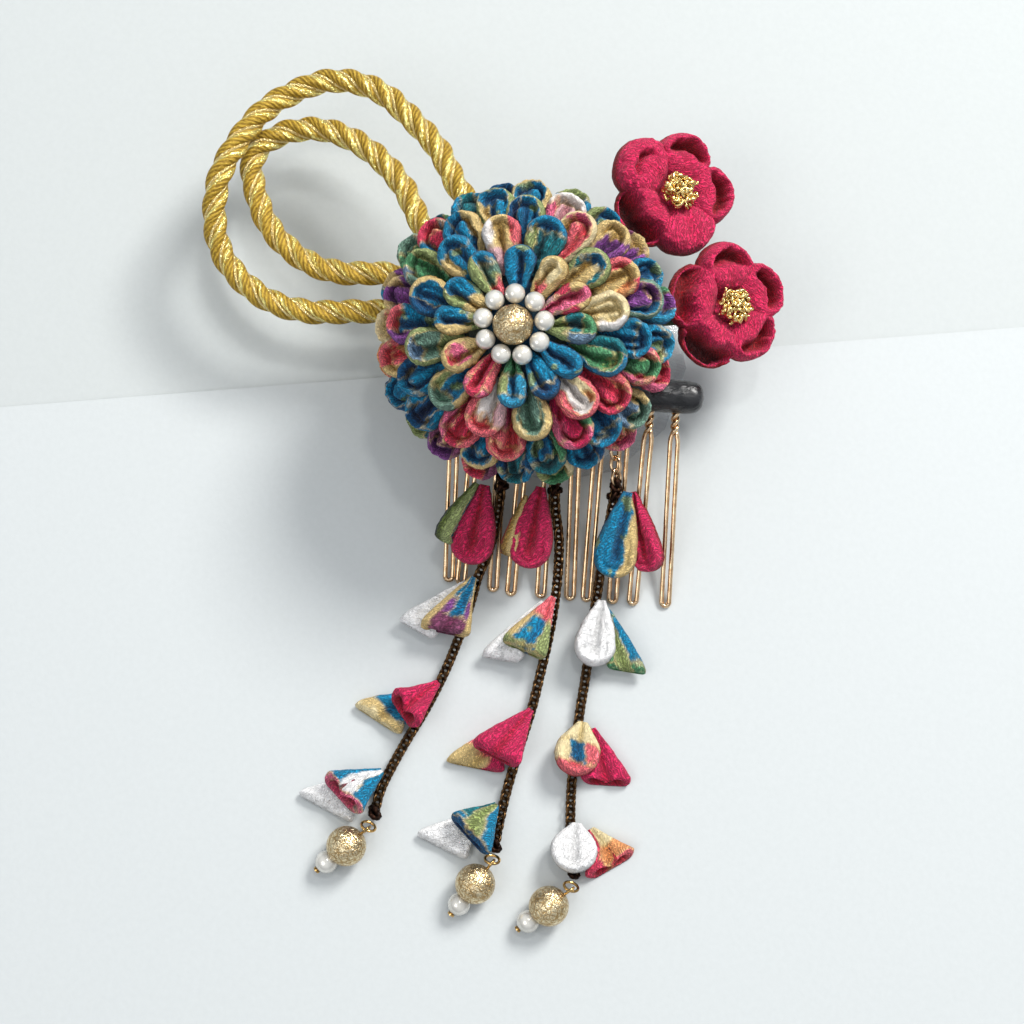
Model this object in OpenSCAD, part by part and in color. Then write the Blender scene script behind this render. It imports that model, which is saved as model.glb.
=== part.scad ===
// Hair comb with a layered crepe chrysanthemum, two plum blossoms, a gold cord
// and three strings of folded petals. Its spine lies on a low clear riser and
// its teeth slope down to the surface.
// X runs along the comb's spine, its teeth point to -Y, and +Z is up.
// The origin is the middle of the comb's spine.

/* [Comb] */
// Distance from the first tooth to the last
comb_span = 46.8; // [44:0.2:50]
// Number of U-shaped wire teeth
tooth_count = 10; // [8:1:12]
// From the spine's axis to the teeth's tips
tooth_length = 45.6; // [40:0.2:50]
// Diameter of a tooth's wire
wire_d = 1; // [0.8:0.1:1.2]
// Diameter of the spine's wire bundle
spine_d = 2; // [1.8:0.1:2.2]
// Diameter of the black tape roll round the spine
wrap_d = 7.4; // [7:0.1:7.6]
// Length of the black tape roll
wrap_length = 58.4; // [56:0.2:62]

/* [Chrysanthemum] */
// Petals in each ring
petals_per_ring = 12; // [10:1:12]
// Width of a petal at its widest
petal_w = 8.4; // [7:0.1:8.6]
// Diameter of the bead in the middle
centre_bead_d = 8; // [7:0.1:8.2]
// Diameter of each pearl round it
ring_pearl_d = 4; // [3:0.1:4]
// Number of pearls round the bead
ring_pearl_count = 9; // [8:1:9]

/* [Riser] */
// Diameter of the clear riser's foot
riser_foot_d = 55.6; // [52:0.2:58]
// Diameter of its top
riser_top_d = 36; // [30:0.5:36]
// Thickness of its wall
riser_wall = 1.4; // [1.2:0.1:2]

/* [Plum blossoms] */
// Length of a plum petal from the blossom's middle
plum_petal_l = 14; // [12:0.1:14]
// Width of a plum petal
plum_petal_w = 13.6; // [12:0.1:13.8]
// Diameter of a stamen bead
stamen_d = 2.5; // [1.8:0.1:2.6]

/* [Cord, chains and drops] */
// Diameter of the gold cord
cord_d = 5.2; // [4.8:0.1:5.4]
// Outer diameter of a chain
chain_d = 2.4; // [2:0.1:2.5]
// Diameter of the gold bead at a chain's end
drop_bead_d = 8.3; // [7:0.1:8.6]
// Diameter of the pearl under it
drop_pearl_d = 4.8; // [4:0.1:5]

/* [Hidden] */
SIDES = ["left", "middle", "right"];
$fn = 48;

// The surface is this far below the spine's axis
rest_z = 16.1;
gap = 0.15;

// Comb
pitch = comb_span / (tooth_count - 1);
leg_offset = 0.8;
neck_length = 8;
neck_d = 1.9;
spine_length = comb_span + 4;
tooth_slope = asin((rest_z - wire_d / 2) / (tooth_length - wire_d / 2));
// Each tooth leans a little to one side, in degrees
tooth_lean = [2, -1.4, 0.9, -0.8, 0.8, 2.2, 0.1, 0.6, -0.5, 1.8, 0, 0];
// and some are a little shorter
tooth_trim = [2, 1.6, 0.6, 0, 0, 0, 0, 0, 0, 0, 0, 0];
// Eyes on the spine that the strings hang from: places along the spine
eye_x = [-10.4, 0, 10.4];
eye_reach = 5.8;
eye_r = 1.3;
eye_wire_d = 0.8;

// Riser
riser_at = [-1.7, 10.8];
riser_foot_h = 1.2;
riser_h = rest_z - wrap_d / 2 - gap;
riser_sides = 12;

// Chrysanthemum: where it sits over the surface and how it leans
kiku_at = [-8.8, 8.4, 24];
kiku_lean = [13, -5.5, 0];
// One row a ring: [root radius, root height, length, width share, height, droop, turn]
kiku_rings = [
  [5.5, 24.3, 10.8, 0.74, 3.3, 2, 0.5],
  [10.4, 21.6, 12.5, 0.96, 3.5, 7, 15.5],
  [14.5, 18.9, 12.5, 1, 3.5, 15, 0.5],
  [17.4, 15.9, 12.5, 1, 3.5, 25, 15.5],
  [19.7, 13.1, 12.5, 1, 3.5, 37, 0.5],
  [22, 9.9, 12, 1, 3.5, 52, 15.5]];
// Outline of the dome under the petals: [radius, height]
core_outline = [[0, 0.3], [26.2, 0.3], [24.4, 3.2], [21.6, 8.6], [19.2, 12], [16.8, 15],
                [13.9, 17.9], [9.8, 20.7], [7, 23.6], [0, 23.6]];
pearl_ring_r = 6.12;
pearl_ring_z = 27.6;
centre_bead_z = 28;

// Sections along a folded petal, as shares of its length, half width and height:
// [along, half width, ridge height, height of the slot between the ridges]
petal_rows = [
  [0, 0.24, 0.26, 0.16],
  [0.2, 0.46, 0.46, 0.20],
  [0.43, 0.78, 0.70, 0.24],
  [0.66, 0.99, 0.93, 0.32],
  [0.83, 0.90, 1, 0.45],
  [0.94, 0.60, 0.96, 0.84],
  [1, 0.22, 0.80, 0.78]];

// Sections along a petal with an open end, in the same shares
open_rows = [
  [0, 0.12, 0.36, 0.32],
  [0.25, 0.37, 0.58, 0.50],
  [0.5, 0.62, 0.78, 0.60],
  [0.72, 0.84, 0.94, 0.62],
  [0.88, 0.98, 1, 0.52],
  [0.96, 0.92, 0.98, 0.40],
  [1, 0.72, 0.84, 0.34]];

// Plum blossoms: [place over the surface, lean about X and Y, turn]
plum_upper = [[18, 43.2, 18], [5, 21, 0], 80];
plum_lower = [[30.6, 19.8, 17.6], [11, 26, 0], 34];
plum_petal_count = 5;
// Sections along a plum petal, as shares of its length and half width and in mm:
// [along, half width, underside, top in the middle, top at the sides]
plum_rows = [
  [0.12, 0.18, 1, 4.6, 3.8],
  [0.30, 0.44, 0.6, 5.8, 4.8],
  [0.50, 0.74, 0.8, 6.6, 6],
  [0.68, 0.96, 1.0, 6.2, 7.2],
  [0.82, 0.98, 1.4, 5, 8],
  [0.93, 0.76, 2.2, 6.8, 8.2],
  [1, 0.36, 3.4, 7.8, 7.9]];
stem_d = 1.8;
stamen_z = 8.4;

// Route of the gold cord's outer loop over the surface
outer_route = [
  [-16, 26, 24.4], [-21.5, 33.5, 24.6], [-26.5, 40.5, 24.5], [-30.8, 48, 24], [-36.8, 54.5, 23.2],
  [-43.9, 60.6, 22.2], [-50.9, 63.3, 21.2], [-57.7, 63.1, 20.4], [-63.9, 60.2, 20], [-68.6, 56.4, 20.4],
  [-72, 51.4, 21.4], [-74.8, 45.6, 22.2], [-76.9, 40, 22.2], [-77.7, 34.4, 21], [-77.3, 28.9, 19.6],
  [-75.6, 23.8, 18.4], [-72, 19.1, 17.8], [-67.1, 15.3, 17.6], [-61.5, 12.9, 17.6], [-54.8, 12, 17.8],
  [-48, 12.4, 18.4], [-42, 12.8, 18.8], [-35, 12.6, 19.2], [-27.5, 12, 19.6]];
// Route of its inner loop
inner_route = [
  [-25.5, 22.8, 22.4], [-29.8, 27.6, 22.6], [-34, 33, 22.6], [-37.4, 39.4, 22], [-42.5, 45.4, 21],
  [-48.9, 50.1, 20], [-55.9, 52.7, 19], [-62.5, 52.6, 18], [-67, 51, 17.2], [-70.4, 48.2, 16.6],
  [-71.4, 43.6, 16.3], [-70, 38.5, 16.2], [-67.6, 33.1, 16.2], [-64.1, 28.4, 16.4], [-58.9, 24.3, 16.8],
  [-53.9, 22, 17.4], [-47.9, 20.9, 18.6], [-42.1, 21, 19.8], [-35.5, 20.4, 20.5], [-29, 19.6, 20.8]];

// Routes of the three chains over the surface, from their rings down
left_route = [
  [-12, -18.2, 11.6], [-12.2, -24.8, 9.2], [-12.8, -30.3, 7.2], [-14, -35.3, 5.5], [-15.6, -39.8, 4.2],
  [-16.6, -44.7, 3.2], [-18, -50.6, 2.6], [-19.8, -56.7, 2.1], [-21.7, -62.1, 1.7], [-24.5, -68.7, 1.4],
  [-27.6, -74.9, 1.3], [-30.3, -80.8, 1.3], [-32.4, -86.4, 1.3]];
middle_route = [
  [-1, -18, 11.7], [-0.2, -24.9, 9.2], [0.9, -30.1, 7.3], [1.3, -35.4, 5.5], [1.3, -40.1, 4.1],
  [1, -45.9, 3.1], [0.2, -52.9, 2.4], [-0.8, -59.4, 1.9], [-1.8, -65.6, 1.5], [-3.3, -72.3, 1.3],
  [-4.9, -79.2, 1.3], [-6.1, -85.2, 1.3], [-7, -91.4, 1.3]];
right_route = [
  [12.2, -18.4, 11.6], [11.6, -24.5, 9.3], [11, -30.2, 7.2], [10.4, -36.4, 5.2], [10, -41.6, 3.8],
  [9.5, -46.9, 3], [9.2, -53.3, 2.4], [8.8, -59.7, 1.9], [8.3, -65.1, 1.6], [7.9, -71.4, 1.3],
  [7.6, -77.8, 1.3], [7.6, -84.1, 1.3], [7.9, -90.3, 1.3], [8.4, -95.4, 1.3]];
ring_wire_d = 0.8;
ring_w = 3.6;

// Folded petals on the chains, two a row of the table:
// [x, y, z of the root, heading from -Y towards -X, pitch down, roll, length, width, height,
//  form: 0 has a round head and 1 an open end, slant of the head]
left_petals = [
  [[-17.4, -21, 12, 31, 12, -60, 14.4, 7.4, 4.4, 0, 0], [-15.5, -21.4, 12.2, 8, 19, 0, 17.2, 9.4, 4.4, 0, 0]],
  [[-18, -41, 3.6, 42, 5, 0, 15, 8.3, 2.8, 1, -0.3], [-16.4, -40.2, 5.4, 24, 3, 0, 13.6, 10.3, 3.6, 1, -0.3]],
  [[-25.4, -65, 0.5, 55, 1, 0, 11.6, 10.5, 2.8, 1, -0.5], [-22.2, -63, 3, 45, -7, 0, 10.4, 9.2, 3.8, 1, 0.1]],
  [[-34.8, -84.2, 0.4, 54, 1, 0, 11.5, 11, 2.8, 1, -0.6], [-32.3, -82.4, 2.8, 54, -7, 0, 10.7, 11, 3.8, 1, -0.2]]];
middle_petals = [
  [[-6.9, -22.7, 11.4, 17, 17, -60, 13.5, 5.8, 4, 0, 0], [-3.7, -20.9, 12.2, 6, 19, 0, 17.5, 9.4, 4.4, 0, 0]],
  [[-1.4, -43.8, 3.4, 32, 6, 0, 15.6, 7.6, 2.8, 1, -0.5], [0.7, -43.1, 5.2, 25, 3, 0, 13.4, 9.8, 3.6, 1, -0.1]],
  [[-5.6, -69.9, 0.5, 38, 1, 0, 12.8, 10.6, 2.8, 1, -0.6], [-2.2, -67.2, 2.9, 34, -6, 0, 12.9, 10.7, 3.8, 1, -0.2]],
  [[-10.4, -89.4, 0.4, 48, 1, 0, 11.5, 10.4, 2.8, 1, -0.5], [-7.9, -87.5, 2.9, 37, -9, 0, 9.2, 11.2, 3.8, 1, 0.1]]];
right_petals = [
  [[14.7, -20.6, 12.4, 7, 19, 0, 18.5, 9.2, 4.4, 0, 0], [16, -20.1, 11, -20, 16, 30, 17.4, 7.4, 4.2, 0, 0]],
  [[11.1, -42.9, 5, 5, 4, 0, 14.3, 8.8, 3.8, 0, 0], [12.1, -43.8, 3, -22, 5, 0, 14.7, 7.6, 2.8, 1, 0.5]],
  [[9, -68.8, 3.1, 7, -1, 0, 11.6, 9.8, 3.6, 0, 0], [11.2, -69.7, 0.5, -18, 1, 0, 12.4, 10.1, 2.8, 1, 0.3]],
  [[9.2, -89.9, 3.1, 3, -2, 0, 10.4, 10, 3.4, 0, 0], [12.2, -90.7, 0.5, -34, 1, 0, 9.4, 11.4, 2.8, 1, 0]]];

// Drops: [the gold bead's place on the surface, way from it to its pearl, way from its eye to the chain]
drops = [
  [[-38.2, -98.4], [-1, -0.9], [0.4, 1]],
  [[-10.9, -104], [-0.7, -1], [0.1, 1]],
  [[4.6, -107.3], [-1, -0.85], [0.3, 1]]];
drop_nest = 1;
drop_ring_r = 1.5;
drop_wire_d = 0.6;
drop_eye_r = 0.95;
drop_bore_d = 0.9;

function unit(v) = v / norm(v);

module on_surface() translate([0, 0, -rest_z]) children();

// Closed solid through rings of points, the same number in each
module skin(rings) {
  count = len(rings[0]);
  last = len(rings) - 1;
  sides = [for (i = [0:last - 1]) for (j = [0:count - 1])
    let (a = i * count + j, b = i * count + (j + 1) % count)
    each [[a, b, b + count], [a, b + count, a + count]]];
  first_cap = [for (j = [1:count - 2]) [0, j + 1, j]];
  last_cap = [for (j = [1:count - 2]) [last * count, last * count + j, last * count + j + 1]];
  polyhedron([for (ring = rings) each ring], concat(sides, first_cap, last_cap));
}

// Tube swept along a route
module tube(route, d, sides) {
  last = len(route) - 1;
  skin([for (i = [0:last])
    let (t = unit(route[min(i + 1, last)] - route[max(i - 1, 0)]),
         across = unit(cross([0, 0, 1], t)),
         up = cross(t, across))
    [for (k = [0:sides - 1])
      route[i] + d / 2 * (cos(360 * k / sides) * up + sin(360 * k / sides) * across)]]);
}

// Petal folded from a square of crepe: it starts at the origin and points to +X
module folded_petal(length, width, height, rows = petal_rows, slant = 0) {
  skin([for (row = rows)
    let (x = row[0] * length, w = row[1] * width / 2, s = slant * w, top = row[2] * height,
         slot = row[3] * height)
    [[x, 0, 0], [x - s, -w, 0], [x - s, -w, 0.62 * top], [x - 0.6 * s, -0.6 * w, top], [x, 0, slot],
     [x + 0.6 * s, 0.6 * w, top], [x + s, w, 0.62 * top], [x + s, w, 0]]]);
}

// Cupped plum petal, from near the origin to +X
module plum_petal() {
  skin([for (row = plum_rows)
    let (x = row[0] * plum_petal_l, w = row[1] * plum_petal_w / 2)
    [[x, 0, row[2]], [x, -0.7 * w, row[2] + 0.1 * w], [x, -w, (row[2] + row[4]) / 2],
     [x, -0.84 * w, row[4]], [x, -0.4 * w, (row[3] + row[4]) / 2 - 0.1], [x, 0, row[3]],
     [x, 0.4 * w, (row[3] + row[4]) / 2 - 0.1], [x, 0.84 * w, row[4]],
     [x, w, (row[2] + row[4]) / 2], [x, 0.7 * w, row[2] + 0.1 * w]]]);
}

module tooth(trim) {
  leg_length = tooth_length - trim - wire_d / 2 - leg_offset - neck_length + 1;
  rotate([90, 0, 0]) cylinder(d = neck_d, h = neck_length);
  for (side = [-1, 1])
    translate([side * leg_offset, 1 - neck_length, 0])
      rotate([90, 0, 0]) cylinder(d = wire_d, h = leg_length);
  translate([0, 1 - neck_length - leg_length, 0])
    rotate([0, 0, 180]) rotate_extrude(angle = 180)
      translate([leg_offset, 0]) circle(d = wire_d, $fn = 24);
}

module at_tooth(i)
  translate([(i - (tooth_count - 1) / 2) * pitch, 0, 0])
    rotate([tooth_slope, 0, 0]) rotate([0, 0, tooth_lean[i]]) children();

module comb() {
  color("darkgoldenrod") {
    translate([-spine_length / 2, 0, 0]) rotate([0, 90, 0]) cylinder(d = spine_d, h = spine_length);
    for (i = [0:tooth_count - 1]) at_tooth(i) tooth(tooth_trim[i]);
    for (x = eye_x) translate([x, 0, 0]) {
      rotate([90, 0, 0]) cylinder(d = eye_wire_d, h = eye_reach - eye_r, $fn = 24);
      translate([0, -eye_reach, 0]) rotate([0, 90, 0])
        rotate_extrude() translate([eye_r, 0]) circle(d = eye_wire_d, $fn = 24);
    }
  }
}

module comb_wrap() {
  round_r = 1.4;
  color("black") difference() {
    translate([-wrap_length / 2, 0, 0]) rotate([0, 90, 0]) rotate_extrude()
      polygon([[0, 0], [wrap_d / 2 - round_r, 0], [wrap_d / 2 - 0.35 * round_r, 0.35 * round_r],
               [wrap_d / 2, round_r], [wrap_d / 2, wrap_length - round_r],
               [wrap_d / 2 - 0.35 * round_r, wrap_length - 0.35 * round_r],
               [wrap_d / 2 - round_r, wrap_length], [0, wrap_length]]);
    translate([-spine_length / 2 - gap, 0, 0]) rotate([0, 90, 0])
      cylinder(d = spine_d + 2 * gap, h = spine_length + 2 * gap);
    for (i = [0:tooth_count - 1]) at_tooth(i) rotate([90, 0, 0])
      cylinder(d = neck_d + 2 * gap, h = wrap_d);
    for (x = eye_x) translate([x, 0, 0]) rotate([90, 0, 0])
      cylinder(d = eye_wire_d + 2 * gap, h = wrap_d, $fn = 24);
  }
}

// Clear shell with flat sides, open below, that the spine lies on
module riser() {
  foot_r = riser_foot_d / 2;
  top_r = riser_top_d / 2;
  t = riser_wall;
  color("whitesmoke") on_surface() translate([riser_at[0], riser_at[1], 0])
    rotate_extrude($fn = riser_sides)
      polygon([[foot_r, 0], [foot_r, riser_foot_h], [foot_r - 2, riser_foot_h + 0.6], [top_r, riser_h],
               [0, riser_h], [0, riser_h - t], [top_r - 0.6 * t, riser_h - t],
               [foot_r - 2 - 1.2 * t, 0]]);
}

// Places children in the chrysanthemum's own frame: its base is z = 0 and its axis is Z
module on_kiku() on_surface() translate(kiku_at) rotate(kiku_lean) children();

module kiku_core() {
  color("teal") on_kiku() rotate_extrude() polygon(core_outline);
}

module kiku_ring(ring) {
  row = kiku_rings[ring - 1];
  color(["steelblue", "seagreen", "indianred", "steelblue", "teal", "mediumpurple"][ring - 1])
    on_kiku() for (i = [0:petals_per_ring - 1])
      rotate([0, 0, 90 - row[6] - i * 360 / petals_per_ring])
        translate([row[0], 0, row[1]]) rotate([0, row[5], 0])
          folded_petal(row[2], row[3] * petal_w, row[4]);
}

module kiku_pearls() {
  color("ivory") on_kiku() for (i = [0:ring_pearl_count - 1])
    rotate([0, 0, i * 360 / ring_pearl_count])
      translate([0, pearl_ring_r, pearl_ring_z]) sphere(d = ring_pearl_d);
}

module kiku_bead() {
  color("goldenrod") on_kiku() translate([0, 0, centre_bead_z]) sphere(d = centre_bead_d);
}

module rope_outer_loop() {
  color("gold") on_surface() tube(outer_route, cord_d, 10);
}

module rope_inner_loop() {
  color("gold") on_surface() tube(inner_route, cord_d, 10);
}

// Places children in a plum blossom's own frame
module on_plum(plum) on_surface() translate(plum[0]) rotate(plum[1]) children();

module ume_petals(plum) {
  color("crimson") on_plum(plum) for (i = [0:plum_petal_count - 1])
    rotate([0, 0, plum[2] + i * 360 / plum_petal_count]) plum_petal();
}

module ume_stamens(plum) {
  color("gold") on_plum(plum) {
    translate([0, 0, stamen_z]) sphere(d = stamen_d);
    for (i = [0:4]) rotate([0, 0, plum[2] + 36 + i * 72])
      translate([stamen_d * 1.05, 0, stamen_z - 0.2]) sphere(d = stamen_d);
  }
}

// Taped wire from under a blossom, over the surface, to the back of the chrysanthemum
module ume_stem(plum, bend, foot) {
  color("darkolivegreen") on_surface() tube([plum[0] - [0, 0, 1.2], bend, foot], stem_d, 12);
}

// Long ring through an eye on the spine: it lies down along the teeth
module hook(side) {
  start = [eye_x[side], -eye_reach, rest_z];
  way = routes[side][0] - start;
  straight = norm(way) - ring_w - ring_wire_d - 2 * gap;
  color("goldenrod") on_surface() translate(start)
    rotate([0, 0, atan2(way[1], way[0])])
      rotate([0, atan2(-way[2], norm([way[0], way[1]])), 0]) translate([ring_w / 2, 0, 0]) {
        for (end = [0, 1]) translate([end * straight, 0, 0]) rotate([0, 0, 90 - 180 * end])
          rotate_extrude(angle = 180) translate([ring_w / 2, 0]) circle(d = ring_wire_d, $fn = 24);
        for (y = [-1, 1]) translate([0, y * ring_w / 2, 0]) rotate([0, 90, 0])
          cylinder(d = ring_wire_d, h = straight, $fn = 24);
      }
}

routes = [left_route, middle_route, right_route];

module chain(side) {
  color("saddlebrown") on_surface() tube(concat(routes[side], [chain_end(side)]), chain_d, 8);
}

module pair(side, row) {
  petals = [left_petals, middle_petals, right_petals][side][row - 1];
  shades = [["teal", "crimson"], ["white", "seagreen"], ["steelblue", "crimson"], ["white", "teal"]][row - 1];
  for (i = [0, 1]) {
    p = petals[i];
    color(shades[i]) on_surface() translate([p[0], p[1], p[2]])
      rotate([0, 0, -90 - p[3]]) rotate([0, p[4], 0]) rotate([p[5], 0, 0])
        folded_petal(p[6], p[7], p[8], p[9] == 0 ? petal_rows : open_rows, p[10]);
  }
}

// A drop's line runs from its eye down through the gold bead and the pearl, which lie on the surface.
// The pearl sits in a hollow of the bead.
function bead_at(side) = [drops[side][0][0], drops[side][0][1], drop_bead_d / 2];
function flat_way(side) = let (w = unit(drops[side][1])) [w[0], w[1], 0];
function pearl_at(side) = let (
    apart = (drop_bead_d + drop_pearl_d) / 2 - drop_nest,
    down = (drop_bead_d - drop_pearl_d) / 2)
  bead_at(side) + sqrt(apart * apart - down * down) * flat_way(side) - [0, 0, down];
function drop_way(side) = unit(pearl_at(side) - bead_at(side));
function eye_at(side) = bead_at(side) - (drop_bead_d / 2 + gap + drop_eye_r + drop_wire_d / 2) * drop_way(side);
// From the eye to the middle of the jump ring and on to the chain's end
function ring_way(side) = let (w = unit(drops[side][2])) unit([0.6 * w[0], 0.6 * w[1], -0.8]);
function ring_at(side) = eye_at(side) + drop_ring_r * ring_way(side);
function chain_end(side) = ring_at(side) + (drop_ring_r + drop_wire_d / 2 + chain_d / 2 + gap) * ring_way(side);

// Turns children so that their X axis points along a way
module along(way)
  rotate([0, 0, atan2(way[1], way[0])]) rotate([0, atan2(-way[2], norm([way[0], way[1]])), 0]) children();

module drop_ring(side) {
  color("gold") on_surface() translate(ring_at(side)) along(ring_way(side))
    rotate_extrude() translate([drop_ring_r, 0]) circle(d = drop_wire_d, $fn = 24);
}

module drop_bead(side) {
  color("goldenrod") on_surface() translate(bead_at(side)) along(drop_way(side)) rotate([0, 90, 0])
    difference() {
      sphere(d = drop_bead_d);
      cylinder(d = drop_bore_d, h = 2 * drop_bead_d, center = true, $fn = 24);
      translate([0, 0, norm(pearl_at(side) - bead_at(side))]) sphere(d = drop_pearl_d + 2 * gap);
    }
}

module drop_pearl(side) {
  color("ivory") on_surface() translate(pearl_at(side)) along(drop_way(side)) rotate([0, 90, 0])
    difference() {
      sphere(d = drop_pearl_d);
      cylinder(d = drop_bore_d, h = 2 * drop_pearl_d, center = true, $fn = 24);
    }
}

// Headpin: an eye, a wire through the bead and the pearl, and a flat head
module drop_pin(side) {
  reach = norm(pearl_at(side) - eye_at(side)) + drop_pearl_d / 2 + gap;
  color("gold") on_surface() translate(eye_at(side)) along(drop_way(side)) {
    rotate([90, 0, 0]) rotate_extrude() translate([drop_eye_r, 0]) circle(d = drop_wire_d, $fn = 24);
    translate([drop_eye_r, 0, 0]) rotate([0, 90, 0])
      cylinder(d = drop_wire_d, h = reach - drop_eye_r + 0.1, $fn = 24);
    translate([reach, 0, 0]) rotate([0, 90, 0]) cylinder(d = 1.5, h = 0.4, $fn = 24);
  }
}

comb();
comb_wrap();
riser();
kiku_core();
for (ring = [1:6]) kiku_ring(ring);
kiku_pearls();
kiku_bead();
rope_outer_loop();
rope_inner_loop();
ume_petals(plum_upper);  // ume_upper_petals
ume_stamens(plum_upper);  // ume_upper_stamens
ume_stem(plum_upper, [10, 32, 20], [2, 18, 23]);  // ume_upper_stem
ume_petals(plum_lower);  // ume_lower_petals
ume_stamens(plum_lower);  // ume_lower_stamens
ume_stem(plum_lower, [22, 15, 21], [6, 12, 23]);  // ume_lower_stem
for (side = [0:2]) {
  hook(side);
  chain(side);
  for (row = [1:4]) pair(side, row);
  drop_ring(side);
  drop_pin(side);
  drop_bead(side);
  drop_pearl(side);
}
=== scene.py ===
"""Looks of a hair comb with a layered crepe chrysanthemum, plum blossoms, a gold cord and petal strings.

Tables are in millimetres over the surface that the ornament lies on, and repeat those of the part's
source. The dyed crepe's colours are charted in words, petal by petal.
"""

import math
import random

import bmesh
import bpy
import numpy as np
from mathutils import Matrix, Vector, noise


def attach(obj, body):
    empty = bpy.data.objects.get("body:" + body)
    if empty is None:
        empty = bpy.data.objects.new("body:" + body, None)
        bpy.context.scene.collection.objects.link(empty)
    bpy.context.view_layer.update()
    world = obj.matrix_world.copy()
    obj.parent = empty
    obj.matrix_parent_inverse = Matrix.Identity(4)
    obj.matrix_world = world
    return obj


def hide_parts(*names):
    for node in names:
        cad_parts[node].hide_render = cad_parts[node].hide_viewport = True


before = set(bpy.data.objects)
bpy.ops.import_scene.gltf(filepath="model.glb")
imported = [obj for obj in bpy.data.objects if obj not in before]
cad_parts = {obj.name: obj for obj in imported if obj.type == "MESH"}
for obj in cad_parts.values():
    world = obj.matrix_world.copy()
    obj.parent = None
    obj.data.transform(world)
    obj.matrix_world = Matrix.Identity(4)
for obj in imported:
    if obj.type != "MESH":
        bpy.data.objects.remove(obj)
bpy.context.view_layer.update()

MM = 0.001
REST_Z = 16.1  # the spine's axis over the surface
dice = random.Random(7)

# Scene and camera

CAMERA_TARGET = (-9.551, -24.215, 0)
CAMERA_PLACE = (-2.537, -113.341, 420.603)
CAMERA_RIGHT = (0.99692, 0.07846, 0)
CAMERA_FOV = 28.975  # degrees
CAMERA_NEAR = 0.01  # metres


def placed(name, data):
    """Makes an object of that data in the scene."""
    made = bpy.data.objects.new(name, data)
    bpy.context.scene.collection.objects.link(made)
    return made


def make_camera():
    back = (Vector(CAMERA_PLACE) - Vector(CAMERA_TARGET)).normalized()
    right = Vector(CAMERA_RIGHT)
    axes = Matrix((right, back.cross(right), back)).transposed().to_4x4()
    axes.translation = (Vector(CAMERA_PLACE) - Vector((0, 0, REST_Z))) * MM
    data = bpy.data.cameras.new("camera")
    data.angle = math.radians(CAMERA_FOV)
    data.clip_start = CAMERA_NEAR
    camera = placed("camera", data)
    camera.matrix_world = axes
    bpy.context.scene.camera = camera
    bpy.context.scene.view_settings.view_transform = "Standard"


# Dyes

DYES = {  # as seen on the crepe in daylight, 0 to 255
    "blue": (2, 128, 170),
    "deep blue": (2, 84, 130),
    "sky": (48, 156, 196),
    "teal": (16, 118, 128),
    "dark teal": (12, 84, 100),
    "green": (84, 150, 104),
    "olive": (154, 168, 108),
    "sage": (116, 152, 134),
    "grey blue": (112, 140, 166),
    "ochre": (220, 192, 130),
    "orange": (230, 156, 100),
    "cream": (236, 218, 170),
    "white": (238, 232, 228),
    "pure white": (244, 244, 244),
    "pale pink": (236, 190, 196),
    "pink": (228, 108, 142),
    "coral": (236, 108, 118),
    "red": (216, 62, 94),
    "magenta": (204, 34, 88),
    "purple": (140, 78, 152),
    "plum": (134, 70, 104),
    "crimson": (210, 34, 86),
}
PLAIN = ("magenta", "pure white", "crimson")  # dyed in one colour, with no flecks

# One list a ring, clockwise from the top. A petal's main colour comes first, then the places
# where another one shows: left and right ridge as seen from the root, head, root, slot and edge.
RING_DYES = [
    ["blue", "cream, root coral, edge ochre", "red, head ochre, root pale pink, slot pink",
     "teal, head green, right grey blue, root olive", "blue", "blue, head deep blue",
     "sky, right olive, head sky, root green", "coral, head pink, slot red",
     "pink, head red, edge ochre, root ochre", "blue, left ochre, root olive",
     "blue, left olive, root ochre", "sage, root coral, head blue, left olive"],
    ["teal, left olive, head blue", "teal, slot ochre, head blue, edge olive",
     "white, slot cream, root ochre, left cream", "green, head green, edge blue, left teal",
     "cream, head orange, right coral, slot white, edge coral", "sage, head cream, slot sage, edge ochre",
     "coral, left pale pink, slot white, head coral", "blue, right olive, edge ochre, head sage",
     "sage, head grey blue, root olive, edge olive", "blue, edge ochre, left deep blue",
     "blue, left ochre, head blue", "white, right coral, slot ochre, root pale pink"],
    ["blue, left deep blue, edge olive", "coral, left ochre, head pink, edge cream",
     "orange, head red, slot ochre, left coral", "blue, head blue", "coral, head coral, slot red, right red",
     "pink, left green, head pink, slot magenta", "coral, head coral, edge coral, root pink",
     "pink, head pink, left coral, slot red", "blue, head blue, right deep blue",
     "blue, head coral, left purple", "sage, head grey blue, right olive, slot green",
     "blue, right ochre, left blue"],
    ["pale pink, left pink, head white", "purple, left ochre, head ochre",
     "purple, head purple, right blue, edge sage", "pink, left pink, head coral, slot green",
     "blue, head blue", "blue, left green, head teal", "blue, head blue, edge ochre",
     "blue, head blue, slot deep blue", "coral, head coral, left ochre", "purple, head ochre, slot purple",
     "blue, slot red, head red", "blue, left ochre, head blue, edge olive"],
    ["blue, edge ochre", "blue, left olive", "blue, right sky", "blue, right olive, head sky",
     "grey blue, left ochre, head sage", "blue, left deep blue", "deep blue, head blue, slot teal",
     "plum, head purple", "blue, edge deep blue", "coral, left cream, head cream",
     "green, right purple, head sage", "blue, slot teal"],
    ["blue, head olive", "purple, head ochre, left plum", "purple, left green, right sky",
     "pink, left coral, slot red", "coral, left ochre, head pink", "olive, left cream, head green",
     "coral, head red, left plum", "dark teal, head olive", "coral, right cream, head orange",
     "purple, head ochre, left blue", "green, head dark teal, left olive", "blue, head deep blue"],
]
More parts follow.
